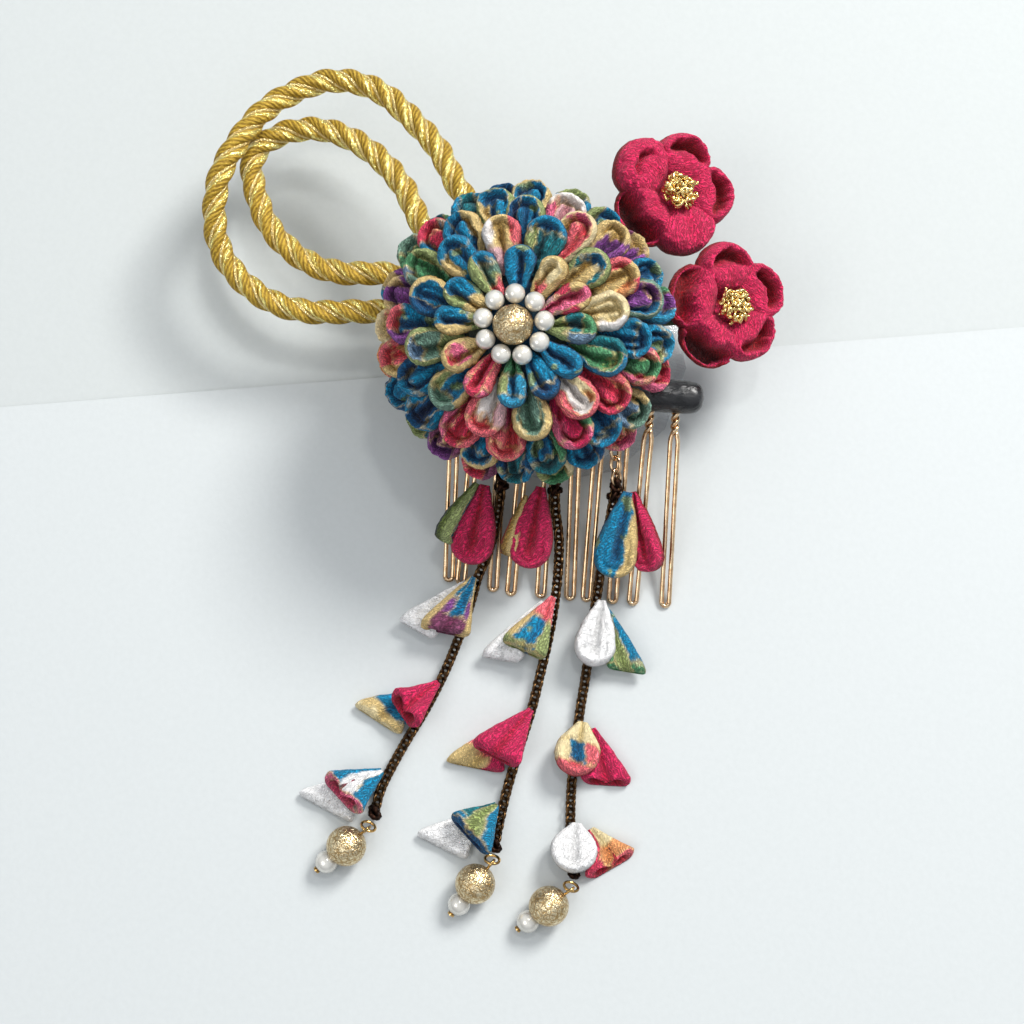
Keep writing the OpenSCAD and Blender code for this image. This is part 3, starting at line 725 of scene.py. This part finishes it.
def make_kiku():
    lean = turned(*KIKU_LEAN)
    for ring, (radius, up, length, share, height, droop, turn) in enumerate(KIKU_RINGS, 1):
        skin = Skin()
        for i, words in enumerate(RING_DYES[ring - 1]):
            seed = ring * 12 + i + 0.37
            angle = 90 - turn - i * 360 / PETALS_PER_RING + dice.uniform(-3, 3)
            left, right, head, crease, crease_at = KIKU_FOLDS[(3 * ring + 5 * i) % len(KIKU_FOLDS)]
            if ring == 1:
                left, right, head, crease = 0.15 * left, 0.15 * right, 0.3 * head, 1.0
            elif ring == 2:
                left, right, head, crease = 0.5 * left, 0.5 * right, 0.75 * head, max(crease, 0.8)
            shape = round_petal(
                length * dice.uniform(0.97, 1.01), share * PETAL_W * dice.uniform(0.97, 1.03),
                height * dice.uniform(0.96, 1.06), left, right, head, seed, crease, crease_at)
            way = lean @ turned(z=angle)
            tilt = turned(y=droop + dice.uniform(-3, 3))
            roll = turned(x=dice.uniform(-9, 9))
            add_petal(skin, shape, words, way @ tilt @ roll, way @ [radius, 0, up] + KIKU_AT, seed)
        skin.piece(f"crepe_ring_{ring}", CREPE, f"crepe_ring_{ring}", f"kiku_ring_{ring}")


# Plum blossoms

PLUMS = {  # place over the surface, lean about X and Y, turn
    "upper": [(18, 43.2, 18), (5, 21, 0), 80],
    "lower": [(30.6, 19.8, 17.6), (11, 26, 0), 34],
}
PLUM_PETAL_L = 14
PLUM_PETAL_W = 13.6
PLUM_H = 8
# One row a petal, anticlockwise from the blossom's turn: fold, how far it opens at the head and how far
# round, share of the length, share of the width
PLUM_FOLDS = {
    "upper": [["recess", 1, 0.75, 0.97, 0.96], ["groove", 1, 0.8, 1.06, 1.06], ["mouth", 1, 1.05, 1.02, 1.12],
              ["plain", 0, 1, 0.96, 1.16], ["recess", 1, 0.62, 0.98, 1.02]],
    "lower": [["recess", 1, 0.95, 0.96, 1], ["recess", 1, 0.7, 0.97, 0.94], ["mouth", 0.8, 0.95, 1, 1.12],
              ["mouth", 1, 0.95, 1, 1.12], ["recess", 1, 0.8, 0.94, 1.02]],
}
STAMEN_D = 2.5
STAMEN_Z = 8.4
STAMEN_KNOT = 0.78, 0.34, 0.8  # size, waist, thickness
STAMEN_SPREAD, STAMEN_THREAD_D, THREADS = 3.7, 0.8, 40
GOLDEN_ANGLE = 2.4  # radians, so that the threads are spread evenly


def make_plums():
    folds = {"plain": PLAIN_FOLD, "groove": GROOVE_FOLD, "recess": RECESS_FOLD, "mouth": MOUTH_FOLD}
    for which, (place, lean, turn) in PLUMS.items():
        way = turned(*lean)
        skin = Skin()
        for i, (fold, head, reach, long, wide) in enumerate(PLUM_FOLDS[which]):
            seed = 200 + 10 * i + turn
            shape = round_petal(
                long * PLUM_PETAL_L, wide * PLUM_PETAL_W, PLUM_H, 0, 0, head, seed, crease=0.06, reach=reach,
                fold=folds[fold], closed=BLOSSOM_FOLD, ridge=PLUM_RIDGE, under=PLUM_UNDER, spread=0.9,
                ragged=0.6, rows=64, over=70, below=16)
            petal_way = way @ turned(z=turn + i * 72)
            add_petal(skin, shape, "crimson", petal_way, np.array(place), seed, crumple=0.2)
        skin.piece(f"plum_{which}", CREPE, "crimson_crepe", f"ume_{which}_petals")
        knots = Skin()
        for i in range(6):
            seat = np.array([0, 0, STAMEN_Z])
            if i < 5:
                seat = turned(z=turn + 36 + i * 72) @ [STAMEN_D * 1.05, 0, STAMEN_Z - 0.2]
            tangle = turned(dice.uniform(0, 360), dice.uniform(0, 360), 0)
            add_knot(knots, way @ seat + place, *STAMEN_KNOT, tangle)
        for i in range(THREADS):
            far, about = STAMEN_SPREAD * math.sqrt((i + 0.5) / THREADS), GOLDEN_ANGLE * i
            seat = np.array([far * math.cos(about), far * math.sin(about), STAMEN_Z + 0.9 - 0.15 * far**2])
            seat += [dice.uniform(-0.3, 0.3) for _ in range(3)]
            length = dice.uniform(1.3, 2.4)
            tangle = turned(dice.uniform(-40, 40), dice.uniform(-50, 50), dice.uniform(0, 360))
            add_thread(knots, way @ seat + place, length, STAMEN_THREAD_D, tangle)
        knots.piece(f"stamens_{which}", STAMEN, "stamen_gold", f"ume_{which}_stamens")


def add_thread(skin, centre, length, width, turn):
    """A short crinkled end of gold thread."""
    t = np.linspace(-0.5, 0.5, 9)
    crinkled = np.stack([length * t, 0.35 * np.sin(7 * t + length), 0.25 * np.cos(9 * t)], axis=1)
    path = crinkled @ turn.T + centre
    skin.add(*round_ring(path, width / 2 * np.sqrt(1.06 - (2 * t) ** 2), 8))


def add_knot(skin, centre, big, small, thickness, turn):
    """A tight knot of crinkled thread."""
    t = around(60)
    far = big + small * np.cos(3 * t)
    knot = np.stack([far * np.cos(2 * t), far * np.sin(2 * t), 1.6 * small * np.sin(3 * t)], axis=1)
    path = knot @ turn.T + centre
    radius = thickness / 2 * (1 + 0.16 * np.sin(23 * t))
    skin.add(*round_ring(path, radius, 10, closed=True), closed=True)


# Gold cord

CORD_D = 5.2
CORD_PITCH = 16.8
STRAND_OUT, STRAND_R = 0.27 * CORD_D, 0.245 * CORD_D
THREAD_OUT, THREAD_R = 0.34 * CORD_D, 0.4
STRAND_SHIFT = np.array([40.0, 0, 0])  # of the pattern, so that no strand repeats another's
CORD_ROUTES = {
    "outer": [
        [-16, 26, 24.4], [-21.5, 33.5, 24.6], [-26.5, 40.5, 24.5], [-30.8, 48, 24], [-36.8, 54.5, 23.2],
        [-43.9, 60.6, 22.2], [-50.9, 63.3, 21.2], [-57.7, 63.1, 20.4], [-63.9, 60.2, 20], [-68.6, 56.4, 20.4],
        [-72, 51.4, 21.4], [-74.8, 45.6, 22.2], [-76.9, 40, 22.2], [-77.7, 34.4, 21], [-77.3, 28.9, 19.6],
        [-75.6, 23.8, 18.4], [-72, 19.1, 17.8], [-67.1, 15.3, 17.6], [-61.5, 12.9, 17.6], [-54.8, 12, 17.8],
        [-48, 12.4, 18.4], [-42, 12.8, 18.8], [-35, 12.6, 19.2], [-27.5, 12, 19.6]],
    "inner": [
        [-25.5, 22.8, 22.4], [-29.8, 27.6, 22.6], [-34, 33, 22.6], [-37.4, 39.4, 22], [-42.5, 45.4, 21],
        [-48.9, 50.1, 20], [-55.9, 52.7, 19], [-62.5, 52.6, 18], [-67, 51, 17.2], [-70.4, 48.2, 16.6],
        [-71.4, 43.6, 16.3], [-70, 38.5, 16.2], [-67.6, 33.1, 16.2], [-64.1, 28.4, 16.4], [-58.9, 24.3, 16.8],
        [-53.9, 22, 17.4], [-47.9, 20.9, 18.6], [-42.1, 21, 19.8], [-35.5, 20.4, 20.5], [-29, 19.6, 20.8]],
}


def make_cords():
    for which, route in CORD_ROUTES.items():
        path, far = evenly(through(route, 240), 0.55)
        ahead, side, up = frames(path)
        rope, threads = Skin(), Skin()
        for strand in range(3):
            turn = 2 * math.pi * (far / CORD_PITCH + strand / 3)
            out = np.cos(turn)[:, None] * side + np.sin(turn)[:, None] * up
            rings, grain = round_ring(path + STRAND_OUT * out, STRAND_R, 20, outward=out)
            rope.add(rings, grain + STRAND_SHIFT * strand)
            turn += math.pi / 3
            out = np.cos(turn)[:, None] * side + np.sin(turn)[:, None] * up
            radius = THREAD_R * (1 + 0.18 * np.sin(far * 5.5 + strand))
            rings, grain = round_ring(path + THREAD_OUT * out, radius, 8)
            threads.add(rings, grain + STRAND_SHIFT * strand)
        cord = rope.piece(f"cord_{which}", GOLD_CORD, "gold_cord", f"rope_{which}_loop")
        bright = threads.piece(f"cord_{which}_thread", GOLD_THREAD, "gold_cord")


# Strings

ROUTES = {
    "left": [
        [-12, -18.2, 11.6], [-12.2, -24.8, 9.2], [-12.8, -30.3, 7.2], [-14, -35.3, 5.5], [-15.6, -39.8, 4.2],
        [-16.6, -44.7, 3.2], [-18, -50.6, 2.6], [-19.8, -56.7, 2.1], [-21.7, -62.1, 1.7], [-24.5, -68.7, 1.4],
        [-27.6, -74.9, 1.3], [-30.3, -80.8, 1.3], [-32.4, -86.4, 1.3]],
    "middle": [
        [-1, -18, 11.7], [-0.2, -24.9, 9.2], [0.9, -30.1, 7.3], [1.3, -35.4, 5.5], [1.3, -40.1, 4.1],
        [1, -45.9, 3.1], [0.2, -52.9, 2.4], [-0.8, -59.4, 1.9], [-1.8, -65.6, 1.5], [-3.3, -72.3, 1.3],
        [-4.9, -79.2, 1.3], [-6.1, -85.2, 1.3], [-7, -91.4, 1.3]],
    "right": [
        [12.2, -18.4, 11.6], [11.6, -24.5, 9.3], [11, -30.2, 7.2], [10.4, -36.4, 5.2], [10, -41.6, 3.8],
        [9.5, -46.9, 3], [9.2, -53.3, 2.4], [8.8, -59.7, 1.9], [8.3, -65.1, 1.6], [7.9, -71.4, 1.3],
        [7.6, -77.8, 1.3], [7.6, -84.1, 1.3], [7.9, -90.3, 1.3], [8.4, -95.4, 1.3]],
}
# Root, heading from -Y towards -X, pitch down, roll, length, width, height, form, slant
PAIRS = {
    "left": [
        [[-17.4, -21, 12, 31, 12, -60, 14.4, 7.4, 4.4, 0, 0],
         [-15.5, -21.4, 12.2, 8, 19, 0, 17.2, 9.4, 4.4, 0, 0]],
        [[-18, -41, 3.6, 42, 5, 0, 15, 8.3, 2.8, 1, -0.3],
         [-16.4, -40.2, 5.4, 24, 3, 0, 13.6, 10.3, 3.6, 1, -0.3]],
        [[-25.4, -65, 0.5, 55, 1, 0, 11.6, 10.5, 2.8, 1, -0.5],
         [-22.2, -63, 3, 45, -7, 0, 10.4, 9.2, 3.8, 1, 0.1]],
        [[-34.8, -84.2, 0.4, 54, 1, 0, 11.5, 11, 2.8, 1, -0.6],
         [-32.3, -82.4, 2.8, 54, -7, 0, 10.7, 11, 3.8, 1, -0.2]]],
    "middle": [
        [[-6.9, -22.7, 11.4, 17, 17, -60, 13.5, 5.8, 4, 0, 0],
         [-3.7, -20.9, 12.2, 6, 19, 0, 17.5, 9.4, 4.4, 0, 0]],
        [[-1.4, -43.8, 3.4, 32, 6, 0, 15.6, 7.6, 2.8, 1, -0.5],
         [0.7, -43.1, 5.2, 25, 3, 0, 13.4, 9.8, 3.6, 1, -0.1]],
        [[-5.6, -69.9, 0.5, 38, 1, 0, 12.8, 10.6, 2.8, 1, -0.6],
         [-2.2, -67.2, 2.9, 34, -6, 0, 12.9, 10.7, 3.8, 1, -0.2]],
        [[-10.4, -89.4, 0.4, 48, 1, 0, 11.5, 10.4, 2.8, 1, -0.5],
         [-7.9, -87.5, 2.9, 37, -9, 0, 9.2, 11.2, 3.8, 1, 0.1]]],
    "right": [
        [[14.7, -20.6, 12.4, 7, 19, 0, 18.5, 9.2, 4.4, 0, 0],
         [16, -20.1, 11, -20, 16, 30, 17.4, 7.4, 4.2, 0, 0]],
        [[11.1, -42.9, 5, 5, 4, 0, 14.3, 8.8, 3.8, 0, 0],
         [12.1, -43.8, 3, -22, 5, 0, 14.7, 7.6, 2.8, 1, 0.5]],
        [[9, -68.8, 3.1, 7, -1, 0, 11.6, 9.8, 3.6, 0, 0],
         [11.2, -69.7, 0.5, -18, 1, 0, 12.4, 10.1, 2.8, 1, 0.3]],
        [[9.2, -89.9, 3.1, 3, -2, 0, 10.4, 10, 3.4, 0, 0],
         [12.2, -90.7, 0.5, -34, 1, 0, 9.4, 11.4, 2.8, 1, 0]]],
}
OPEN_MOUTHS = (("left", 3, 1), ("left", 4, 1), ("right", 3, 1), ("right", 4, 1))  # string, row, petal
DROPS = {  # the gold bead's place on the surface, way from it to its pearl, way from its eye to the chain
    "left": [[-38.2, -98.4], [-1, -0.9], [0.4, 1]],
    "middle": [[-10.9, -104], [-0.7, -1], [0.1, 1]],
    "right": [[4.6, -107.3], [-1, -0.85], [0.3, 1]],
}
GAP = 0.15
CHAIN_D = 2.4
DROP_BEAD_D, DROP_PEARL_D, DROP_NEST = 8.3, 4.8, 1
DROP_RING_R, DROP_WIRE_D, DROP_EYE_R = 1.5, 0.6, 0.95
LINK_R, LINK_WIRE, LINK_PITCH = 1.12, 0.62, 1.2
HOOK_R, HOOK_WIRE, HOOK_PITCH, HOOK_STRETCH = 1.25, 0.7, 2.9, 1.5
STRING_KNOTS = [  # point of the route, how much higher, size, waist, turn
    [1, 0.1, 0.95, 0.45, (20, 70, 30)], [4, 0, 0.85, 0.4, (100, 20, 30)], [-3, 0.6, 0.95, 0.45, (10, 80, 30)]]
EYE_X = {"left": -10.4, "middle": 0, "right": 10.4}
EYE_REACH = 5.8


def chain_end(side):
    """Where the chain meets the jump ring of its drop."""
    place, to_pearl, to_chain = DROPS[side]
    bead = np.array([*place, DROP_BEAD_D / 2])
    apart, down = (DROP_BEAD_D + DROP_PEARL_D) / 2 - DROP_NEST, (DROP_BEAD_D - DROP_PEARL_D) / 2
    drop = unit(math.sqrt(apart**2 - down**2) * np.array([*unit(to_pearl), 0]) - [0, 0, down])
    eye = bead - (DROP_BEAD_D / 2 + GAP + DROP_EYE_R + DROP_WIRE_D / 2) * drop
    way = unit([*(0.6 * unit(to_chain)), -0.8])
    return eye + (2 * DROP_RING_R + DROP_WIRE_D / 2 + CHAIN_D / 2 + GAP) * way


def add_links(skin, path, big, wire, pitch, stretch=1.0, sides=6, steps=14):
    """A row of round links along a path, each turned a quarter from the one before."""
    path, far = evenly(path, 0.2)
    ahead, side, up = frames(path)
    turn = around(steps)
    for k in range(int((far[-1] - 1.2 * big) / pitch) + 1):
        at = 0.6 * big + k * pitch
        i = int(np.argmin(np.abs(far - at)))
        lean = math.pi / 4 + (math.pi / 2 if k % 2 else 0)
        wide = math.cos(lean) * side[i] + math.sin(lean) * up[i]
        loop = path[i] + big * (stretch * np.cos(turn)[:, None] * ahead[i] + np.sin(turn)[:, None] * wide)
        skin.add(*round_ring(loop, wire / 2, sides, closed=True), closed=True)


def make_strings():
    for side, route in ROUTES.items():
        path = through(route + [chain_end(side).tolist()], 120)
        links = Skin()
        add_links(links, path, LINK_R, LINK_WIRE, LINK_PITCH)
        links.piece(f"chain_{side}_links", BRONZE, "bronze_chain", f"chain_{side}")
        knots = Skin()
        for at, up, big, small, turn in STRING_KNOTS:
            add_knot(knots, path[at] + [0, 0, up], big, small, 1.0, turned(*turn))
        knots.piece(f"chain_{side}_knots", KNOT_BLACK, "bronze_chain")
        hook = Skin()
        start = np.array([EYE_X[side], -EYE_REACH - 0.4, REST_Z])
        way = np.linspace(start, route[0], 40)
        add_links(hook, way, HOOK_R, HOOK_WIRE, HOOK_PITCH, HOOK_STRETCH, sides=8, steps=20)
        hook.piece(f"hook_{side}_links", GILT, "gilt_wire", f"hook_{side}")
        for row, petals in enumerate(PAIRS[side], 1):
            skin = Skin()
            for which, petal in enumerate(petals):
                *place, heading, pitch, roll, length, width, height, form, slant = petal
                seed = 400 + 40 * row + 7 * which + len(side)
                if form:
                    pinched = (side, row, which) not in OPEN_MOUTHS
                    shape = open_petal(length, width, height, slant, pinched, seed)
                else:
                    shape = round_petal(length, width, height, 0.1, 0.2, 0.3, seed, crease=0.55)
                way = turned(z=-90 - heading) @ turned(y=pitch) @ turned(x=roll)
                words = PAIR_DYES[side][row - 1][which]
                add_petal(skin, shape, words, way, place, seed, crumple=0.15 if form else 0.18)
            skin.piece(f"petals_{side}_{row}", CREPE, f"strand_crepe_{row}", f"pair_{side}_{row}")


# Comb

COMB_SPAN, TOOTH_COUNT, TOOTH_LENGTH, WIRE_D = 46.8, 10, 45.6, 1.0
LEG_OFFSET, NECK_LENGTH, WRAP_D, WRAP_LENGTH = 0.8, 8, 7.4, 58.4
TOOTH_SLOPE = math.degrees(math.asin((REST_Z - WIRE_D / 2) / (TOOTH_LENGTH - WIRE_D / 2)))
TOOTH_LEAN = [2, -1.4, 0.9, -0.8, 0.8, 2.2, 0.1, 0.6, -0.5, 1.8]
TOOTH_TRIM = [2, 1.6, 0.6, 0, 0, 0, 0, 0, 0, 0]
NECK_TURNS, TWIST_OUT = 2.5, 0.46
SPINE_END = 25.4
SPINE_WIRE_D = 2
EYE_R, EYE_WIRE_D = 1.3, 0.8
LAP = 9  # of the tape, along the spine


def tooth_route(trim):
    """One wire: twisted neck, straight leg, round tip and back, in the tooth's own frame."""
    tip = TOOTH_LENGTH - trim - WIRE_D / 2
    neck = np.linspace(0, NECK_LENGTH, 34)
    turn = 2 * math.pi * NECK_TURNS * neck / NECK_LENGTH
    down = [np.stack([side * np.cos(turn), -neck, side * np.sin(turn)], axis=1)
            for side in (TWIST_OUT, -TWIST_OUT)]
    sign = 1 if down[0][-1][0] > 0 else -1
    leg = np.linspace(NECK_LENGTH + 1.6, tip - LEG_OFFSET, 14)
    legs = [np.stack([0 * leg + side * LEG_OFFSET, -leg, 0 * leg], axis=1) for side in (sign, -sign)]
    bend = np.linspace(0, math.pi, 9)[1:-1]
    curl = np.stack([sign * LEG_OFFSET * np.cos(bend), -(tip - LEG_OFFSET) - LEG_OFFSET * np.sin(bend),
                     np.zeros_like(bend)], axis=1)
    return np.vstack([down[0], legs[0], curl, legs[1][::-1], down[1][::-1]])


def make_comb():
    wires = Skin()
    pitch = COMB_SPAN / (TOOTH_COUNT - 1)
    for i in range(TOOTH_COUNT):
        way = turned(x=TOOTH_SLOPE) @ turned(z=TOOTH_LEAN[i])
        route = tooth_route(TOOTH_TRIM[i]) @ way.T + [(i - (TOOTH_COUNT - 1) / 2) * pitch, 0, REST_Z]
        wires.add(*round_ring(through(route, 3 * len(route)), WIRE_D / 2, 10))
    bar = np.linspace([-SPINE_END, 0, REST_Z], [SPINE_END, 0, REST_Z], 12)
    wires.add(*round_ring(bar, SPINE_WIRE_D / 2, 16))
    for x in EYE_X.values():
        turn = around(28)
        loop = [0 * turn + x, -EYE_REACH + EYE_R * np.cos(turn), REST_Z + EYE_R * np.sin(turn)]
        wires.add(*round_ring(np.stack(loop, axis=1), EYE_WIRE_D / 2, 10, closed=True), closed=True)
        shank = np.linspace([x, 0, REST_Z], [x, -EYE_REACH + EYE_R, REST_Z], 4)
        wires.add(*round_ring(shank, EYE_WIRE_D / 2, 10))
    wires.piece("comb_wires", GILT, "gilt_wire", "comb")

    x = np.linspace(-1, 1, 170)[:, None]
    turn = around(56)
    lap = (x * WRAP_LENGTH / 2 / LAP + turn / (2 * math.pi)) % 1.0  # each lap rises to a step down
    step = 0.10 * (np.clip(lap / 0.9, 0, 1) - 0.7) - 0.12 * ease(0.9, 1.0, lap)
    r = 0.97 * WRAP_D / 2 * np.sqrt(np.clip(1 - np.abs(x) ** 26, 0.02, 1)) + step
    rings = np.stack([x * WRAP_LENGTH / 2 + 0 * turn, r * np.cos(turn), REST_Z + r * np.sin(turn)], axis=-1)
    rings = crumpled(rings, 0.12, 4.0, 61)
    tape = Skin()
    tape.add(rings, rings)
    tape.piece("comb_tape", BLACK_TAPE, "black_tape", "comb_wrap")


# Stage and light

PAPERS = {  # colour, how far it lies under the surface, corners
    "back_paper": ((186, 191, 191), 0.5, [[-400, 500], [-400, -500], [500, -500], [500, 500]]),
    "front_paper": ((192, 197, 198), 0, [[-400, -54.1], [-400, -500], [500, -500], [500, 90.8]]),
}
LIGHT_FROM = (0.621, 0.781)  # on the surface, towards the light
LIGHT_UP = 42  # degrees
WORLD = [(0, (0.22, 0.23, 0.26, 1)), (0.9, (0.93, 0.96, 1.0, 1))]  # from the horizon to overhead
WORLD_STRENGTH = 0.82
LAMP_FAR = 1.1  # metres
LAMP_TINT = (1.0, 0.98, 0.95)
LAMPS_ROUND = Vector((-0.02, -0.02, 0))  # what the lamps face, in metres


def make_stage():
    for name, (tone, down, corners) in PAPERS.items():
        f = Finish(name, Roughness=0.9, Specular_IOR_Level=0.2)
        tooth = f.noise(f.place(), 0.8, 4.0, 0.6)
        paper = f.use(f.tones(tooth, 0.3, 0.7, tone, [c + 3 for c in tone]), tooth, depth=0.02)
        mesh = bpy.data.meshes.new(name)
        mesh.from_pydata([(x * MM, y * MM, -(REST_Z + down) * MM) for x, y in corners], [], [(0, 1, 2, 3)])
        mesh.materials.append(paper)
        placed(name, mesh)


def make_light():
    world = bpy.data.worlds.new("studio")
    bpy.context.scene.world = world
    world.use_nodes = True
    nodes, links = world.node_tree.nodes, world.node_tree.links
    back = nodes["Background"]
    where = nodes.new("ShaderNodeTexCoord")
    parts = nodes.new("ShaderNodeSeparateXYZ")
    links.new(where.outputs["Generated"], parts.inputs[0])
    shade = nodes.new("ShaderNodeValToRGB")
    for element, (position, colour) in zip(shade.color_ramp.elements, WORLD):
        element.position = position
        element.color = colour
    links.new(parts.outputs["Z"], shade.inputs[0])
    links.new(shade.outputs[0], back.inputs["Color"])
    back.inputs["Strength"].default_value = WORLD_STRENGTH

    up = math.radians(LIGHT_UP)
    towards = Vector((LIGHT_FROM[0] * math.cos(up), LIGHT_FROM[1] * math.cos(up), math.sin(up)))
    lamps = [("key", towards, 0.38, 13.8), ("fill", Vector((-0.5, -0.35, 0.8)).normalized(), 0.6, 2.2),
             ("front", Vector((0.12, 0.3, 1.0)).normalized(), 0.09, 1.5)]  # way to it, size in metres, watts
    for name, way, size, power in lamps:
        lamp = bpy.data.lights.new(name, "AREA")
        lamp.shape = "DISK"
        lamp.size = size
        lamp.energy = power
        lamp.color = LAMP_TINT
        light = placed(name, lamp)
        light.location = way * LAMP_FAR + LAMPS_ROUND
        light.rotation_mode = "QUATERNION"
        light.rotation_quaternion = way.to_track_quat("Z", "Y")


# CAD nodes that stay

KEPT = {
    "riser": CLEAR, "kiku_core": BACKING, "kiku_pearls": PEARL, "kiku_bead": STARDUST,
    "ume_upper_stem": STEM_TAPE, "ume_lower_stem": STEM_TAPE,
}
for string in ROUTES:
    KEPT.update({f"drop_ring_{string}": FINDING, f"drop_pin_{string}": FINDING,
                 f"drop_bead_{string}": STARDUST, f"drop_pearl_{string}": PEARL})


def finish_kept():
    for name, material in KEPT.items():
        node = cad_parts[name]
        for slot in node.material_slots:
            slot.material = material


make_camera()
make_cords()
make_kiku()
make_plums()
make_strings()
make_comb()
finish_kept()
make_stage()
make_light()
